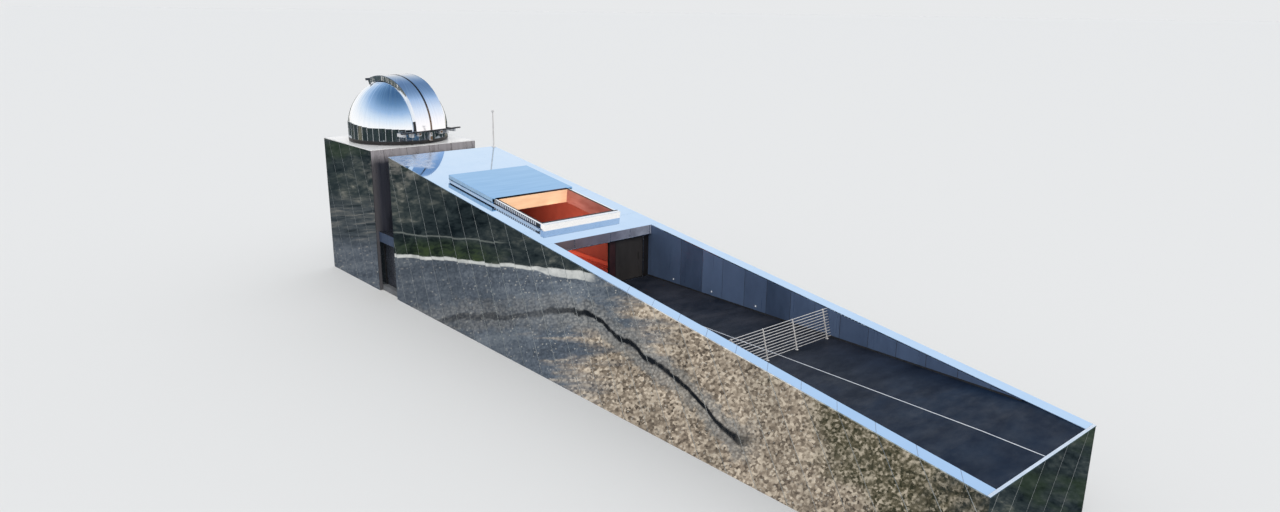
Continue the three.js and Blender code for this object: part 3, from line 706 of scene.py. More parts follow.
def build_world():
    """Plain pale studio; polished metal sees a soft sky over hills and gravel."""
    world = bpy.data.worlds.new("studio")
    bpy.context.scene.world = world
    world.use_nodes = True
    world.node_tree.nodes.clear()
    way = add_node(world, "TexCoord", {}, "Generated")
    x, y, up = split(way)
    turn = abs(y).maths("ARCTAN2", x * -1)
    flat = stretched(way, (1, 1, 1.9))
    layers = stretched(way, (1, 1, 9))
    sky = ramp(
        up.remap(-1, 1), (0.5, (1, 0.97, 0.93)), (0.56, (1.12, 1.1, 1.08)), (0.66, (1, 1.02, 1.04)),
        (0.75, (0.74, 0.86, 1)), (0.84, (0.37, 0.55, 0.81)), (0.93, (0.15, 0.29, 0.5)),
        (1, (0.07, 0.16, 0.31)),
    )

    # Hills with a meadow, a track, a green verge and a bare scar
    broad = noise(flat, 6, 5, 0.6, 0.6)
    scrub = noise(flat, 58, 8, 0.76, 0.3)
    hills = ramp(
        broad * 0.38 + scrub * 0.62, (0.4, (0.016, 0.027, 0.034)), (0.48, (0.058, 0.08, 0.088)),
        (0.54, (0.11, 0.135, 0.136)), (0.6, (0.27, 0.28, 0.25)), (0.66, (0.85, 0.8, 0.69)),
    )
    meadow = noise(flat, 9, 4, 0.6).remap(0.54, 0.62, 0, 0.4)
    hills = blend(meadow, hills, (0.08, 0.125, 0.05))
    low = up - turn.remap(0.2, 1.2, -0.2297, -0.3557) - turn.remap(0.43, 0.438, 0.034, 0)
    low = low + noise(way, 14, 4, 0.6).spread(-0.0022, 0.0022)
    track = abs(low - 0.0245).remap(0.0004, 0.0011, 1, 0)
    track = track * (turn.remap(0.44, 0.445, 0, 0.75) * turn.remap(0.555, 0.57, 1, 0))
    hills = blend(track, hills, (0.5, 0.53, 0.48))
    verge = abs(turn - 0.5).remap(0.03, 0.07, 0.85, 0) * low.remap(0.012, 0.024, 1, 0)
    hills = blend(verge * scrub.remap(0.42, 0.58, 0.2, 1), hills, (0.12, 0.175, 0.065))
    scar = abs(turn - 0.445).remap(0.014, 0.032, 1, 0) * up.remap(-0.19, -0.175)
    hills = blend(scar * scrub.remap(0.45, 0.6, 0, 0.8), hills, (0.6, 0.55, 0.5))

    # Gravel, slate-grey to sandy, with bright flints and a ditch between boulders
    clods = noise(way, 120, 4, 0.7)
    drift = noise(layers, 10, 5, 0.6, 0.4)
    mounds = noise(flat, 13, 4, 0.5, 0.3)
    shingle = noise(way, 310, 2, 0.6)
    stones, each = cells(way, 370)
    pebbles = noise(way, 400, 3, 0.72) * 0.4 + clods * 0.14 + drift * 0.22 + mounds * 0.24
    gritty = mounds * 0.1 + drift * 0.2 + clods * 0.05 + (shingle * 0.22 + 0.11) + each[1] * 0.21
    slate = ramp(pebbles, (0.41, (0.17, 0.2, 0.25)), (0.5, (0.32, 0.37, 0.45)), (0.59, (0.58, 0.63, 0.7)))
    sand = ramp(gritty, (0.38, (0.26, 0.2, 0.155)), (0.5, (0.92, 0.715, 0.54)), (0.62, (1.95, 1.6, 1.25)))
    ditch = up - turn.remap(0.6671, 0.8474, -0.33, -0.4545)
    ditch = ditch + noise(way, 24, 4, 0.55).spread(-0.005, 0.005)
    warm = turn + drift.spread(-0.05, 0.05) + ditch.remap(-0.02, 0, 0.07, 0)
    gravel = blend(warm.remap(0.69, 0.76), slate, sand)
    flint, chance = cells(way, 380)
    flints = flint.remap(0.16, 0.36, 0.7, 0) * chance[0].remap(0.74, 0.82)
    gravel = blend(flints, gravel, (1.75, 1.62, 1.45))
    gravel = blend(turn.remap(0.44, 0.62, 0.45, 0), gravel, (0.07, 0.08, 0.1))
    off = abs(ditch)
    ditch_here = turn.remap(0.6, 0.66, 0.5, 1) * turn.remap(0.84, 0.88, 1, 0)
    boulder = stones.remap(0.2, 0.75, 1, 0.2) * clods.remap(0.35, 0.65, 0.6, 1.2)
    rubble = blend(boulder, (0.14, 0.145, 0.16), (1.25, 1.17, 1.08))
    beside = (off + clods.spread(-0.009, 0.009)).remap(0.012, 0.02, 0.7, 0)
    gravel = blend(beside * ditch_here, gravel, rubble)
    gravel = blend(off.remap(0.0022, 0.0042, 1, 0) * ditch_here, gravel, (0.03, 0.035, 0.045))
    ground = blend(low.remap(-0.0015, 0.0015, 1, 0), hills, gravel)

    # A layered bank and a kerb where the two meet, shrubs and hills beyond the gravel
    strata = ramp(
        noise(layers, 26, 6, 0.7, 0.3), (0.38, (0.05, 0.065, 0.075)), (0.48, (0.14, 0.165, 0.185)),
        (0.56, (0.24, 0.25, 0.25)), (0.65, (0.62, 0.58, 0.52)),
    )
    bank = abs(low).remap(0.012, 0.03, 0.95, 0) * turn.remap(0.425, 0.436, 1, 0)
    ground = blend(bank, ground, strata)
    block = abs(low + turn.remap(0.6, 0.625, 0, 0.003)) - turn.remap(0.6, 0.625, 0, 0.0028)
    kerb = block.remap(0.0013, 0.0023, 1, 0) * noise(way, 90, 4, 0.6).remap(0.3, 0.55, 0.5, 1)
    kerb = kerb * (turn.remap(0.438, 0.44) * turn.remap(0.662, 0.672, 1, 0))
    ground = blend(kerb, ground, (1.75, 1.7, 1.62))
    straying = turn + broad.spread(-0.1, 0.1)
    tufts = shingle * 0.3 + scrub * 0.5 + each[1] * 0.17
    shrubs = ramp(tufts, (0.4, (0.07, 0.08, 0.04)), (0.49, (0.3, 0.26, 0.15)), (0.6, (1.5, 1.25, 0.95)))
    ground = blend(straying.remap(0.89, 0.96, 0, 0.85), ground, shrubs)
    ground = blend(straying.remap(1.05, 1.14), ground, hills)
    high = up + noise(way, 8, 5, 0.6).spread(-0.03, 0.03)

    seen = add_node(world, "Background", {0: blend(high.remap(0, 0.02), ground, sky)})
    to_camera = add_node(world, "LightPath", {}, "Is Camera Ray")
    glossy = add_node(world, "LightPath", {}, "Is Glossy Ray")
    pale = blend(to_camera, (0.86, 0.9, 0.96), (0.875, 0.888, 0.9))
    plain = add_node(world, "Background", {0: pale, 1: 0.92})
    add_output(world, "OutputWorld", add_node(world, "MixShader", {0: glossy, 1: plain, 2: seen}))


def add_light(name, kind, energy, colour, spot, target, **settings):
    light = bpy.data.lights.new(name, kind)
    light.energy = energy
    light.color = colour
    for key, value in settings.items():
        setattr(light, key, value)
    lamp = new_object(name, light)
    lamp.location = spot
    lamp.rotation_euler = (Vector(target) - Vector(spot)).to_track_quat("-Z", "Y").to_euler()
    lamp.visible_glossy = False
    lamp.visible_camera = False


def build_lights():
    add_light("key_sun", "SUN", 1.5, (1, 0.93, 0.84), (14, -10, 16), (-2, 0, 1), angle=radians(24))
    for name, energy, colour, spot, target, size, size_y in (
        ("room_lamp", 1.8, (1, 0.6, 0.5), (-0.8, -0.9, 2.75), (-0.9, 1.3, 2), 2.4, 0.5),
        ("wall_lamp", 14, (1, 0.62, 0.5), (-2.5, 0.1, 2.9), (-2.8, 1.4, 2.65), 2, 0.3),
        ("hatch_lamp", 13, (1, 0.78, 0.56), (-0.5, -0.2, 2.6), (-2.2, -0.2, 3.2), 1.6, 0.3),
    ):
        add_light(name, "AREA", energy, colour, spot, target, shape="RECTANGLE", size=size, size_y=size_y)


def build_camera():
    """The camera as fitted to the photo."""
    yaw, pitch, roll = 0.8486, 0.2704, 0.0124
    focal_pixels, photo_width = 886.5324, 1280
    eye = Vector((49.988, -23.6647, 13.7409)) * UNIT + Vector((WING_X, NEAR_Y, TERRACE))
    forward = Vector((-sin(yaw) * cos(pitch), cos(yaw) * cos(pitch), -sin(pitch)))
    right = Vector((cos(yaw), sin(yaw), 0))
    up = right.cross(forward)
    across = cos(roll) * right + sin(roll) * up
    upwards = cos(roll) * up - sin(roll) * right
    data = bpy.data.cameras.new("photo_camera")
    data.sensor_width = 36
    data.lens = focal_pixels * data.sensor_width / photo_width
    data.clip_start = 0.1
    data.clip_end = 6000
    camera = new_object("photo_camera", data)
    camera.matrix_world = Matrix.Translation(eye) @ Matrix((across, upwards, -forward)).transposed().to_4x4()
    bpy.context.scene.camera = camera


# The observatory
def dress_nodes():
    """Each CAD node takes the finish of its slot or its own; the nodes of the listed families also get their
    edges welded and softened.
    """
    slots = {row["node"]: row["material_slot"] for row in frame["record"]["subparts"]}
    edges = {
        0.001: ("floor_strip",),
        0.0015: ("terrace_railing",),
        0.002: ("wing_roof", "coping", "cover_rail", "screen_frame", "screen_post", "terrace_doors",
                "entrance", "shutter_rail"),
        0.003: ("tower_roof", "link_roof", "hatch_curb", "roof_cover"),
        0.005: ("hatch_end_box",),
    }
    # The CAD linings take the dark seal finish: painted shade on the sliver that shows along the copings
    own_finish = {
        "terrace_railing": MAST_STEEL, "floor_strip": PALE_STEEL, "shutter_rail_lower": DARK_STEEL,
        "shutter_rail_upper": DARK_STEEL, "dome_base_ring": SKIRT_STEEL, "hatch_end_box": END_BOX,
        "roof_fascia": FASCIA_PAINTED_REFLECTION, "tower_front_wall": SATIN_PAINTED_REFLECTION_SHADE, "wing_back_wall": SATIN_PAINTED_REFLECTION_SHADE, "lining_near": SEAL,
        "lining_far": SEAL, "entrance_door": SHADE, "entrance_side_panel": SHADE,
    }
    for name, node in frame["nodes"].items():
        node.data.materials.clear()
        node.data.materials.append(own_finish.get(name, SLOT_FINISH[slots[name]]))
        for width, families in edges.items():
            if name.startswith(families):
                weld = node.modifiers.new("weld", "WELD")
                weld.merge_threshold = 0.00005
                soften(node, width)


def build_facade():
    def joint_row(start, lean, count):
        return [(start + JOINT_STEP * k, TOWER_TOP, lean) for k in range(count)]

    x0, x1 = WING_X + LIP, END_X - LIP
    y0, y1 = NEAR_Y + LIP, FAR_Y - LIP
    near, far = on_y(y0, -1), on_y(y1, 1)
    top = DECK + HAIR
    wing = under_roof(x0 - PANEL, x1 + PANEL, FOOT, top)
    wing_tops = [(WING_X + UNIT * unit, 18 + 0.4 * unit) for unit in JOINT_UNITS]
    wing_joints = [(x, roof_z(x), lean) for x, lean in wing_tops]
    cladding("wing_panels_near", [(wing, wing_joints, near)])
    cladding("wing_panels_far", [(wing, wing_joints, far)])

    tower0, tower1 = TOWER_X + LIP, LINK_X - LIP
    eaves = TOWER_TOP - top
    side = oblong(tower0 - PANEL, tower1 + PANEL, FOOT, eaves)
    side_joints = joint_row(TOWER_X - 1.05, 19, 6)
    cladding("tower_panels_near", [(side, side_joints, near)], (MIRROR, JOINT_FAINT))
    cladding("tower_panels_far", [(side, side_joints, far)])
    back = oblong(y0, y1, FOOT, eaves)
    cladding("tower_panels_back", [(back, joint_row(y0 - 1.1, 19, 7), on_x(tower0, -1))])

    link_side = 0.1 + HAIR
    slim_near = oblong(y0, NEAR_Y + link_side - 2 * HAIR, FOOT, LINK_TOP)
    slim_far = oblong(FAR_Y - link_side + 2 * HAIR, y1, FOOT, LINK_TOP)
    for name, plane, height in (("tower_panels_front", on_x(tower1, 1), eaves),
                                ("wing_panels_back", on_x(x0, -1), roof_z(x0) - top)):
        upper = oblong(y0, y1, LINK_TOP + HAIR, height)
        faces = [(upper, joint_row(y0 + 0.36, 8, 5), plane), (slim_near, [], plane), (slim_far, [], plane)]
        cladding(name, faces, (SATIN_PAINTED_REFLECTION_SHADE, SEAL))

    end = oblong(y0, y1, FOOT, roof_z(END_X) - top)
    end_joints = [(NEAR_Y + UNIT * v, TERRACE - UNIT * 0.3, -lean)
                  for v, lean in ((0.56, 33), (2.08, 32), (3.61, 31), (5.25, 30), (6.9, 28))]
    cladding("wing_panels_end", [(end, end_joints, on_x(x1, 1))])
    link_x = tower1 + HAIR
    link = oblong(link_x, x0 - HAIR, ENTRY + HAIR, LINK_SOFFIT - HAIR)
    cladding("link_panels_far", [(link, [(link_x + 0.3, LINK_SOFFIT, 19)], on_y(FAR_Y - 0.22, 1))])


def build_roof_sheets():
    """Thin polished sheets on the roof and copings, with slanted joints."""
    def plane(u, v, depth):
        return u, v, 0.0004 + depth

    side = 0.0015
    edge, kerb, end = [along_slope(x) for x in (ROOF_EDGE_X, END_X - 0.05, END_X)]
    near, far = NEAR_Y + side, FAR_Y - side
    h0, h1, hy0, hy1 = HATCH
    zones = [
        (side, h0 - HAIR, near, far),
        (h0 + HAIR, h1 - HAIR, near, hy0 - HAIR),
        (h0 + HAIR, h1 - HAIR, hy1 + HAIR, far),
        (h1 + HAIR, edge + 0.013, near, far),
        (edge + 0.015, kerb - side, near, NEAR_INNER - side),
        (edge + 0.015, kerb - side, FAR_INNER + side, far),
        (kerb + HAIR, end - side, near, far),
    ]
    joints = [(along_slope(WING_X + UNIT * unit), NEAR_Y, 38) for unit in JOINT_UNITS]
    shape = Shape(SLOPE_MATRIX)
    for zone in zones:
        at_end = zone[0] > kerb
        panels, seams = cut(oblong(*zone), [] if at_end else joints)
        for panel in panels:
            plate(shape, panel, plane, 0.0016, edge=0.0006, number=2 if at_end else 0)
        for seam in seams:
            shows = zone[2] < 0 and zone[0] > edge and min(u for u, v in seam) > 9
            strip(shape, seam, plane, 0.0006 if shows else 0.0012, int(shows))
    shape.box(*about((kerb + end) / 2, 0.003), near + 0.03, far - 0.03, 0.002, 0.006, 2)
    make("roof_sheets", shape, [ROOF, ROOF_SEAM, ROOF_END], "roof_steel")


def build_hatch():
    s0, s1, y0, y1 = HATCH
    inner = inset(HATCH, CURB)
    top = CURB_TOP + 0.0004
    black = inset(inner, -0.024)
    trim, flash, sides, rack, reveal, lid, cover, rollers = [Shape(SLOPE_MATRIX) for k in range(8)]
    for piece in rim(black, inset(inner, 0.003)):
        trim.box(*piece, top - 0.004, top + 0.009)
    make("hatch_edge_trim", trim, [SEAL], "dark_frame", 0.001)
    for piece in rim((s0 - 0.002, s1 - 0.001, y0 - 0.002, y1 + 0.002), black):
        flash.box(*piece, top, top + 0.003)
    make("hatch_curb_flashing", flash, [WHITE], "white_sheet", 0.0008)
    for v in (y0 - 0.0025, y1 + 0.0005):
        sides.box(s0, s1 - 0.001, v, v + 0.002, 0.002, top - 0.001)
    sides.box(s0 - 0.0025, s0 - 0.0005, y0, y1, 0.002, top - 0.001)
    make("hatch_curb_sides", sides, [ROOF], "roof_steel", 0.0006)

    pitch = 0.075
    for y, way in ((y0, -1), (y1, 1)):
        face = (y + way * 0.0048, y + way * 0.013)
        rack.box(s0 + 0.05, s1 - 0.02, y + way * 0.0027, y + way * 0.0046, 0.04, top - 0.006)
        rack.box(s0 + 0.05, s1 - 0.02, *face, 0.04, 0.047)
        for i in range(int((s1 - s0 - 0.14) / pitch)):
            s = s0 + 0.07 + i * pitch
            rack.box(s, s + 0.034, *face, 0.0472, top - 0.012, 1)
    make("cover_drive_racks", rack, [SEAL, PALE_STEEL], "dark_frame", 0.001)

    deep, thick, slack = ROOF_DEPTH - 0.002, 0.0015, 0.0002
    a0, a1, b0, b1 = inner
    for board, number in (((a0 + slack, a0 + thick, b0 + thick, b1 - thick), 0),
                          ((a1 - thick, a1 - slack, b0 + thick, b1 - thick), 0),
                          ((a0, a1, b0 + slack, b0 + thick), 0), ((a0, a1, b1 - thick, b1 - slack), 1)):
        reveal.box(*board, -deep, top - 0.006, number)
    make("hatch_reveal_boards", reveal, [WARM_LIT_REVEAL, SHADED_FAR_REVEAL], "hatch_reveal")

    lid_end, lid_top = s1 + 0.13, 0.155
    lid.box(s1 + 0.002, lid_end - 0.002, y0 + 0.002, y1 - 0.002, lid_top + 0.0004, lid_top + 0.003)
    for i in range(9):
        v = y0 + 0.12 + i * (y1 - y0 - 0.24) / 8
        lid.box(lid_end + 0.0002, lid_end + 0.0016, *about(v, 0.007), 0.05, 0.064)
    lid.box(s1 + 0.003, s1 + 0.045, y0 + 0.003, y1 - 0.003, lid_top + 0.0032, lid_top + 0.0046, 1)
    make("end_box_lid", lid, [END_BOX, SEAL], "white_sheet", 0.0006)

    rails = (y0 - 0.045, y1 + 0.045)
    start, stop = 2.475, s0 + CURB
    bottom, crown = 0.075, 0.165 - 0.004
    cover.box(start - 0.0014, start - 0.0002, rails[0] - 0.02, rails[1] + 0.02, bottom, crown)
    for rail, way in zip(rails, (-1, 1)):
        cover.box(start + 0.001, stop - 0.001, *about(rail + way * 0.03, 0.0012), bottom, crown)
        cover.box(start + 0.002, stop - 0.002, *about(rail + way * 0.026, 0.004), 0.057, bottom - 0.0005, 1)
        for s in (start + 0.12, (start + stop) / 2, stop - 0.12):
            rim_points = [(s + 0.017 * c, 0.0525 + 0.017 * d) for c, d in circle(20)]
            rollers.loft([[(u, v, w) for u, w in rim_points] for v in about(rail, 0.012)])
    make("cover_side_sheets", cover, [COVER_SIDE, SEAL], "roof_steel", 0.0006, "cover")
    make("cover_rollers", rollers, [SEAL], "dark_frame", 0.001, "cover")


def build_fascia():
    """Panels of the fascia over the screen, with upright joints."""
    shape, drip = Shape(), Shape()
    x = ROOF_EDGE_X + 0.015
    low, top = SOFFIT + 0.001, roof_z(x) - 0.001
    stops = [NEAR_INNER + 0.002, -0.85, 0.15, 0.73, 1.32, FAR_INNER - 0.002]
    for a, b in zip(stops, stops[1:]):
        plate(shape, oblong(a + 0.007, b - 0.007, low, top), on_x(x, 1), 0.004, edge=0.001, tilt=0.0006)
    for v in stops[1:-1]:
        shape.box(x + 0.0003, x + 0.0055, *about(v, 0.0065), low, top - 0.002, 1)
    make("fascia_panels", shape, [FASCIA_PAINTED_REFLECTION, STAINLESS], "mirror_facade")
    span = (NEAR_INNER + 0.001, FAR_INNER - 0.001)
    drip.box(ROOF_EDGE_X - 0.0005, x + 0.004, *span, SOFFIT - 0.004, SOFFIT + 0.0008)
    drip.box(x + 0.0042, x + 0.0075, *span, SOFFIT - 0.004, SOFFIT + 0.009, 1)
    make("fascia_drip", drip, [DARK, STAINLESS], "dark_frame", 0.001)


def build_lining():
    """Lining panels with a tone each, and their foot strip."""
    x_start = SCREEN_X + 0.025 + 0.002
    x_knee = WING_X + 16.3 - 0.15
    floor = TERRACE + 0.032
    units = (18.5, 20.05, 21.45, 22.9, 24.3, 25.73, 27.1, 28.5, 29.95, 31.34, 32.72, 34.12, 35.5)
    tones = (0.45, 0.22, 0.76, 0.72, 0.5, 0.18, 0.52, 0.56, 0.46, 0.52, 0.55, 0.5, 0.56, 0.54)
    stops = [ROOF_EDGE_X + 0.002, *[WING_X + UNIT * unit for unit in units], x_knee]
    for side, y, way in (("far", FAR_INNER, -1), ("near", NEAR_INNER, 1)):
        panels, foot = Shape(), Shape()
        plane = on_y(y, way)
        for a, b, tone in zip(stops, stops[1:], tones):
            panel = under_roof(a + 0.005, b - 0.005, floor, DECK + 0.002)
            plate(panels, panel, plane, 0.004, edge=0.001, tilt=0.0005, tone=tone)
        first = oblong(x_start, ROOF_EDGE_X + 0.001, floor, SOFFIT - 0.006)
        plate(panels, first, plane, 0.004, edge=0.001, tone=0.42)
        make(f"lining_panels_{side}", panels, [LINING], "terrace_lining")
        foot.box(x_start, x_knee, y, y + way * 0.006, TERRACE + 0.0005, TERRACE + 0.012)
        make(f"lining_foot_{side}", foot, [SEAL], "dark_frame", 0.001)


def build_low_lights():
    """Small square lights on both linings, near the floor."""
    z = TERRACE + UNIT * 0.27
    for side, y, way in (("far", FAR_INNER, -1), ("near", NEAR_INNER, 1)):
        lights = Shape()
        for unit in (17.99, 20.75, 23.66):
            x = WING_X + UNIT * unit
            lens = (*about(x, 0.017), *about(z, 0.017))
            for a, b, c, d in rim(inset(lens, -0.009), lens):
                lights.box(a, b, y + way * 0.003, y + way * 0.0075, c, d)
            lights.box(*lens[:2], y + way * 0.003, y + way * 0.005, *lens[2:], 1)
        make(f"low_lights_{side}", lights, [STAINLESS, LAMP], "stainless", 0.0008)


def build_screen():
    leaves, pull, sill, beads = Shape(), Shape(), Shape(), Shape()
    low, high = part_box("terrace_doors")
    face, floor = high.x, low.z
    parting = low.y + 0.86 * (high.y - low.y)
    for a, b in ((low.y + 0.003, parting - 0.002), (parting + 0.002, high.y - 0.003)):
        for plane in (on_x(face, 1), on_x(low.x, -1)):
            plate(leaves, oblong(a, b, floor + 0.004, high.z - 0.004), plane, 0.005)
    make("terrace_door_leaves", leaves, [DOOR], "door_panel")
    v = parting - 0.03
    for z in (floor + 0.46, floor + 0.58):
        pull.box(face + 0.004, face + 0.018, *about(v, 0.004), z, z + 0.008)
    pull.box(face + 0.015, face + 0.022, *about(v, 0.005), floor + 0.44, floor + 0.61)
    make("terrace_door_pull", pull, [DARK], "dark_frame", 0.0015)

    front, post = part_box("screen_frame")[1].x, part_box("screen_post")[0].y
    sill.box(front + 0.0005, front + 0.022, post, FAR_INNER - 0.008, TERRACE + 0.0005, TERRACE + 0.0065)
    for i in range(14):
        v = post + 0.06 + i * (FAR_INNER - 0.1 - post) / 14
        sill.box(front + 0.007, front + 0.0155, v, v + 0.035, TERRACE + 0.0065, TERRACE + 0.0075)
    sill.box(front + 0.0003, front + 0.003, high.y + 0.006, high.y + 0.014, floor, high.z)
    make("screen_threshold", sill, [STAINLESS], "stainless", 0.0008)

    low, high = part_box("screen_glass")
    glass = (low.y, high.y, low.z, high.z)
    for x, way in ((high.x, 1), (low.x, -1)):
        for bead in rim(glass, inset(glass, 0.012)):
            beads.box(x + way * 0.0005, x + way * 0.007, *bead)
    make("glass_beads", beads, [DARK], "dark_frame", 0.001)


def build_rooms():
    def line(shape, sheet, *planes):
        for plane in planes:
            plate(shape, sheet, plane, 0.006, edge=0.001)

    def line_round_door(shape, y0, y1, top, plane):
        line(shape, oblong(y0, -DOOR_HALF, below, top), plane)
        line(shape, oblong(DOOR_HALF, y1, below, top), plane)
        line(shape, oblong(-DOOR_HALF, DOOR_HALF, DOOR_TOP, top), plane)

    x0, x1 = WING_X + LIP + 0.2 + HAIR, SCREEN_X - 0.03
    y0, y1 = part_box("wing_near_wall")[1].y + HAIR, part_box("wing_far_wall")[0].y - HAIR
    along = (on_y(y0, 1), on_y(y1, -1))
    floor, below, ceiling = TERRACE + HAIR, ENTRY + HAIR, 1.523
    walls, glow, soffit, lower, shaft = Shape(), Shape(), Shape(SLOPE_MATRIX), Shape(), Shape()
    line(walls, under_roof(x0, x1, floor, ROOF_DEPTH + 0.004), *along)
    line(walls, oblong(y0, y1, floor, roof_z(x0) - ROOF_DEPTH - 0.004), on_x(x0, 1))
    make("room_wall_lining", walls, [RED_LIT_ROOM_WALL], "hatch_reveal")
    # Painted light: a glowing strip for the bright band of light on the floor by the far wall; it is no lamp
    glow.box(x0 + 0.1, x1 - 0.02, y1 - 0.25, y1 - 0.06, floor, floor + 0.005)
    make("room_floor_painted_light_band", glow, [PAINTED_LIGHT_STRIP], "room_floor", 0.001)

    s0, s1 = along_slope(x0), along_slope(x1)
    depth = ROOF_DEPTH * cos(SLOPE) + HAIR
    h0, h1, hy0, hy1 = HATCH
    for piece in ((s0, h0, y0, y1), (h1, s1, y0, y1), (h0, h1, y0, hy0), (h0, h1, hy1, y1)):
        soffit.box(*piece, -depth - 0.004, -depth)
    make("room_ceiling", soffit, [PLASTER], "white_sheet")

    x_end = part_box("wing_end_wall")[0].x - HAIR
    line(lower, oblong(x0, x_end, below, ceiling), *along)
    line(lower, oblong(y0, y1, below, ceiling), on_x(x_end, -1))
    line_round_door(lower, y0, y1, ceiling, on_x(x0, 1))
    make("lower_room_lining", lower, [PLASTER], "concrete")

    low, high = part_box("tower_floor")
    a0, a1, b0, b1 = inset((low.x, high.x, low.y, high.y), HAIR)
    top = TOWER_TOP - 0.15 - 0.002
    line(shaft, oblong(a0, a1, below, top), on_y(b0, 1), on_y(b1, -1))
    line(shaft, oblong(b0, b1, below, top), on_x(a0, 1))
    line_round_door(shaft, b0, b1, top, on_x(a1, -1))
    make("tower_shaft_lining", shaft, [PLASTER], "concrete")


def build_shell():
    """The hemisphere in gores with its slit, cut from a fine sphere."""
    def open_edges():
        return [edge for edge in work.edges if len(edge.link_faces) == 1]

    inner = DOME_R - 0.03
    middle = DOME_R - 0.015
    gores, parts, rings = 48, 6, 64
    around = gores * parts
    work = bmesh.new()
    for radius in (DOME_R, inner):
        rows = []
        for i in range(rings):
            tilt = pi / 2 * i / rings
            wide, high = radius * cos(tilt), radius * sin(tilt)
            rows.append([work.verts.new((wide * c, wide * s, high)) for c, s in circle(around)])
        crown = work.verts.new((0, 0, radius))
        for a, b in zip(rows, rows[1:]):
            for j in range(around):
                k = (j + 1) % around
                work.faces.new((a[j], a[k], b[k], b[j]))
        for j in range(around):
            work.faces.new((rows[-1][j], rows[-1][(j + 1) % around], crown))
    half = SLIT_HALF + 0.0003
    first, last = radians(SLIT_FOOT), radians(SLIT_HEAD)
    planes = [((0, y, 0), (0, 1, 0)) for y in (half, -half)]
    planes += [((0, 0, 0), (-sin(turn), 0, cos(turn))) for turn in (first, last)]
    for centre, normal in planes:
        everything = work.verts[:] + work.edges[:] + work.faces[:]
        bmesh.ops.bisect_plane(work, geom=everything, dist=1e-6, plane_co=centre, plane_no=normal)
    doomed = []
    for face in work.faces:
        p = face.calc_center_median()
        if abs(p.y) < half and first < atan2(p.z, p.x) < last:
            doomed.append(face)
    bmesh.ops.delete(work, geom=doomed, context="FACES")
    for vert in work.verts:
        radius = DOME_R if vert.co.length > middle - 0.004 else inner
        vert.co = vert.co.normalized() * radius
    slit = [edge for edge in open_edges() if max(vert.co.z for vert in edge.verts) > 1e-4]
    bmesh.ops.bridge_loops(work, edges=slit)
    bmesh.ops.bridge_loops(work, edges=open_edges())
    for vert in work.verts:
        if vert.co.length > middle:
            share = (atan2(vert.co.y, vert.co.x) / tau * gores) % 1
            dip = 0.0007 * sin(pi * share) * cos(asin(min(1, vert.co.z / vert.co.length)))
            vert.co *= 1 - dip / DOME_R
    mesh = bpy.data.meshes.new("dome_shell_polished")
    finish(mesh, work, [DOME_STEEL], "dome_steel", body="dome", replaces="dome_shell", matrix=DOME_MATRIX)


def build_skirt():
    """Upright panels round the dome's foot, each nearly flat, with fine joints, and a dark band along the
    foot that is painted shadow.
    """
    def reach(turn):
        """How far the panels stand over the foot; none under the shutters."""
        off = degrees(abs((turn + pi) % tau - pi))
        if off < 22.4:
            return 0
        return min(0.105, 0.055 + 0.05 * (off - 22.5) / 30) + min(0.095, max(0, 0.0026 * (off - 68)))

    shape = Shape(DOME_MATRIX)
    count, parts = 48, 4
    gap, step = 0.0022 / DOME_R, tau / count
    r, back = DOME_R, DOME_R - 0.03
    z0, z1 = -0.365, -0.0012
    painted_shadow_top = z0 + 0.1
    for i in range(count):
        a = step * i
        turns = [a + gap + (step - gap * 2) * j / parts for j in range(parts + 1)]
        rings = []
        for j, turn in enumerate(turns):
            face = r - 0.0028 * 4 * (j / parts) * (1 - j / parts) * 0.55
            section = [(back, z0), (face - 0.0012, z0), (face, z0 + 0.0012), (face, z1 - 0.0012),
                       (face - 0.0012, z1), (back, z1)]
            rings.append(upright(section, turn))
        shape.loft(rings)
        here = Matrix.Rotation(a, 4, "Z")
        shape.box(r - 0.004, r + 0.0018, -0.0042, 0.0042, painted_shadow_top, z1, 2, here)
        shape.box(r + 0.0004, r + 0.0034, -0.0048, 0.0048, 0.0005, max(0.002, reach(a)), 2, here)
        top = min(reach(a), reach(a + step))
        if top:
            inside = sqrt(r ** 2 - top ** 2) + 0.0004
            lip = r + 0.0022
            section = [(r + 0.0004, 0.0005), (lip, 0.0005), (lip, top - 0.001), (inside, top - 0.001)]
            shape.loft([upright(section, turn) for turn in turns])
    shape.hoop(oblong(r - 0.028, r - 0.0045, z0 + 0.001, z1), 192, 1)
    # The dark band along the foot, standing proud of the panels, is painted shadow
    shape.hoop([(r - 0.001, z0 + 0.001), (r + 0.0032, z0 + 0.001), (r + 0.0032, painted_shadow_top - 0.003),
                (r + 0.0012, painted_shadow_top), (r - 0.001, painted_shadow_top)], 192, 1)
    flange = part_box("dome_base_ring")[1].z - DOME.z + 0.0003
    shape.hoop(oblong(r - 0.12, r - 0.0305, flange, flange + 0.03), 96, 1)
    make("dome_skirt_panels", shape, [SKIRT_STEEL, DARK, PALE_STEEL], "dome_steel", body="dome",
         replaces="dome_skirt")


def arc_band(shape, r0, r1, a0, a1, y0, y1, number=0, step=1):
    """A band that follows the slit from one angle to the other, in degrees."""
    count = max(2, int((a1 - a0) / step))
    section = oblong(r0, r1, *sorted((y0, y1)))
    angles = [radians(a0 + (a1 - a0) * i / count) for i in range(count + 1)]
    rings = [[(r * cos(angle), y, r * sin(angle)) for r, y in section] for angle in angles]
    shape.loft(rings, number)


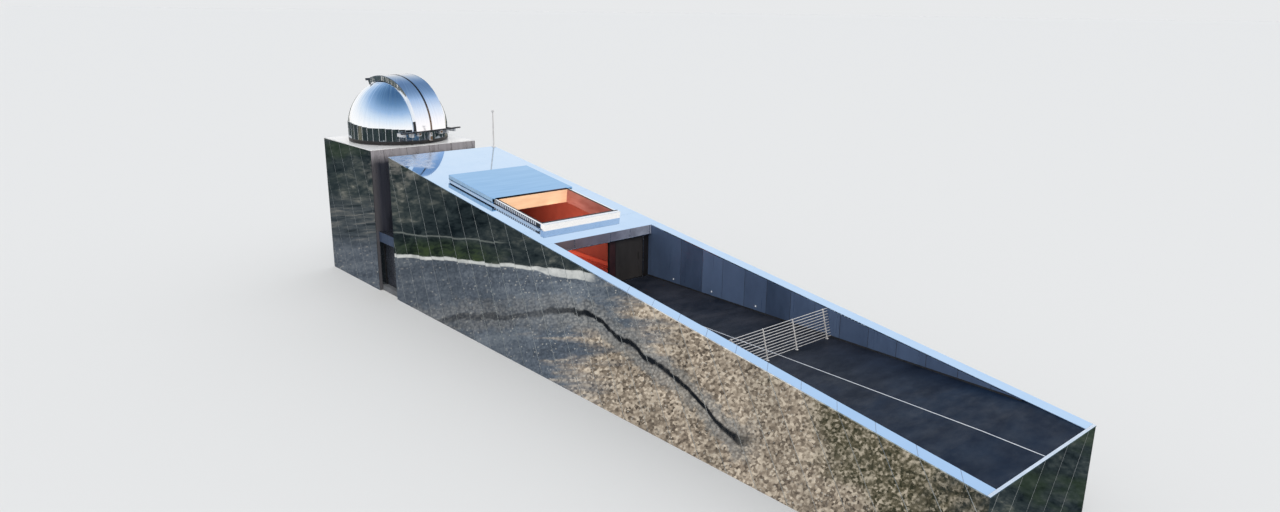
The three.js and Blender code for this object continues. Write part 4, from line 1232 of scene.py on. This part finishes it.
def build_slit():
    curb, fittings = Shape(DOME_MATRIX), Shape(DOME_MATRIX)
    inside = SLIT_HALF - 0.03
    low, high = 1.31, 1.47
    a0, a1 = SLIT_FOOT + 0.05, SLIT_HEAD - 0.05
    for way in (-1, 1):
        arc_band(curb, low, high, a0, a1, way * SLIT_HALF, way * inside)
        arc_band(curb, DOME_R + 0.0015, DOME_R + 0.008, a0 + 0.5, a1 - 0.5, way * (SLIT_HALF + 0.0004),
                 way * (SLIT_HALF + 0.006), 1)
    for start in (a0, a1 - 1.25):
        arc_band(curb, low, high, start, start + 1.25, -inside, inside, step=0.5)
    make("slit_curb_smooth", curb, [STAINLESS, SEAL], "stainless", 0.0015, "dome", "slit_curb")

    for y0, y1, z0, z1, x0, x1, number in (
        (-0.042, 0.042, -0.29, -0.05, DOME_R + 0.0022, DOME_R + 0.052, 0),
        (-0.03, 0.03, -0.27, -0.17, DOME_R + 0.052, DOME_R + 0.066, 1),
        (-0.05, 0.05, -0.298, -0.2905, DOME_R + 0.0022, DOME_R + 0.058, 1),
        (-0.012, 0.012, -0.12, -0.06, DOME_R + 0.052, DOME_R + 0.06, 1),
        (-0.95, -0.89, -0.115, -0.027, 1.145, 1.46, 0),
        (-0.66, -0.6, -0.15, -0.027, 1.3, 1.465, 0),
        (-0.45, -0.34, -0.13, -0.027, 1.392, 1.47, 0),
        (-0.43, -0.36, -0.105, -0.05, 1.47, 1.476, 1),
    ):
        fittings.box(x0, x1, y0, y1, z0, z1, number)
        if y1 < 0:
            fittings.box(x0, x1, -y0, -y1, z0, z1, number)
    make("shutter_drive", fittings, [PALE_STEEL, BRONZE], "stainless", 0.002, "dome")

    seam, edge = 0.005, 0.525
    for way, name in ((-1, "near"), (1, "far")):
        def band(shape, r0, r1, start, stop, y0, y1, number=0, step=1):
            arc_band(shape, r0, r1, start, stop, way * y0, way * y1, number, step)

        skin, web = Shape(DOME_MATRIX), Shape(DOME_MATRIX)
        band(skin, 1.485, 1.502, 0.5, 113, seam, edge - 0.001)
        band(skin, 1.50175, 1.50475, 0.6, 112.9, edge - 0.02, edge - 0.001)
        band(skin, 1.50175, 1.50475, 0.6, 112.9, seam + 0.0005, seam + 0.027, 1)
        make(f"shutter_{name}_polished", skin, [SHUTTER_STEEL, BRONZE], "dome_steel", 0.001,
             f"{name}_shutter", f"shutter_{name}")
        band(web, 1.35, 1.4845, 0.5, 113, edge - 0.02, edge)
        band(web, 1.45, 1.4845, 0.5, 1.5, seam, edge - 0.02, step=0.5)
        band(web, 1.45, 1.4845, 112, 113, seam, edge - 0.02, step=0.5)
        band(web, 1.365, 1.48, 0.7, 11.5, edge + 0.0002, edge + 0.003, 1)
        make(f"shutter_{name}_frame_smooth", web, [DOME_STEEL, SEAL], "dome_steel", 0.0015,
             f"{name}_shutter", f"shutter_{name}_frame")


def build_mast():
    shape = Shape()
    x, y = WING_X + 0.07, FAR_Y - 0.07
    base = roof_z(x)
    profile = [(0.03, 0.004), (0.03, 0.02), (0.0225, 0.032), (0.02, 0.04), (0.0195, 0.5), (0.0165, 0.97),
               (0.014, 0.985), (0.02, 0.99)]
    ball, middle = 0.0375, 1.025
    for i in range(1, 14):
        climb = -pi / 2 + pi * i / 14
        profile.append((ball * cos(climb), middle + ball * sin(climb)))
    profile.append((0.001, middle + ball))
    shape.loft([[(x + r * c, y + r * d, base + z) for c, d in circle(28)] for r, z in profile])
    s = along_slope(x)
    shape.box(*about(s, 0.045), *about(y, 0.045), 0.0004, 0.0095, matrix=SLOPE_MATRIX)
    for a in about(s, 0.032):
        for b in about(y, 0.032):
            shape.box(*about(a, 0.005), *about(b, 0.005), 0.0095, 0.015, matrix=SLOPE_MATRIX)
    make("mast_smooth", shape, [MAST_STEEL], "stainless", 0.0008, replaces="mast")


def build_tower_roof():
    """Edge trims and a flashing ring on the pale roof under the dome."""
    low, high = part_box("tower_roof")
    trim = Shape(Matrix.Translation((DOME.x, 0, high.z + 0.0003)))
    roof = (low.x - DOME.x, high.x - DOME.x, low.y, high.y)
    for piece in rim(inset(roof, 0.002), inset(roof, 0.02)):
        trim.box(*piece, 0, 0.0025)
    r = 1.38
    flashing = [(0.0005, 0), (0.035, 0), (0.035, 0.0025), (0.006, 0.006), (0.0005, 0.02)]
    trim.hoop([(r + out, z) for out, z in flashing], 128)
    make("tower_roof_trim", trim, [PALE_STEEL], "white_sheet", 0.0008)


def build_link():
    """Dark sheet on the link's roof, painted shade and painted reflection of the dark tower front, and the
    entrance's pull and hinges.
    """
    x0, x1 = LINK_X - LIP + PANEL + 0.002, WING_X + LIP - PANEL - 0.002
    low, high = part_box("link_roof")
    top = high.z + 0.0003
    sheet, pull = Shape(), Shape()
    parts = 5
    step = (high.y - low.y - 0.008) / parts
    for i in range(parts):
        a = low.y + 0.004 + i * step
        panel = oblong(x0, x1, a + 0.001, a + step - 0.001)
        plate(sheet, panel, lambda u, v, depth: (u, v, top + depth), 0.0015, edge=0.0005)
    # The dark sheet is painted shade and painted reflection of the dark tower front
    make("link_roof_sheet", sheet, [SHADE], "roof_steel")

    low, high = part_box("entrance_door")
    x = high.x - 0.05
    for z in (low.z + 0.38, low.z + 0.86):
        pull.box(*about(x, 0.004), low.y - 0.02, low.y - 0.0003, z, z + 0.008)
    pull.box(*about(x, 0.0055), low.y - 0.027, low.y - 0.018, low.z + 0.34, low.z + 0.91)
    for z in (low.z + 0.12, low.z + 0.62, low.z + 1.04):
        pull.box(low.x + 0.03, low.x + 0.075, low.y - 0.003, low.y - 0.0003, z, z + 0.05, 1)
    make("entrance_pull", pull, [STAINLESS, DARK_STEEL], "stainless", 0.0015, "entrance_leaf")


build_camera()
build_stage()
build_world()
build_lights()
dress_nodes()
build_facade()
build_roof_sheets()
build_hatch()
build_fascia()
build_lining()
build_low_lights()
build_screen()
build_rooms()
build_shell()
build_skirt()
build_slit()
build_mast()
build_tower_roof()
build_link()

bpy.context.scene.view_settings.view_transform = "Standard"
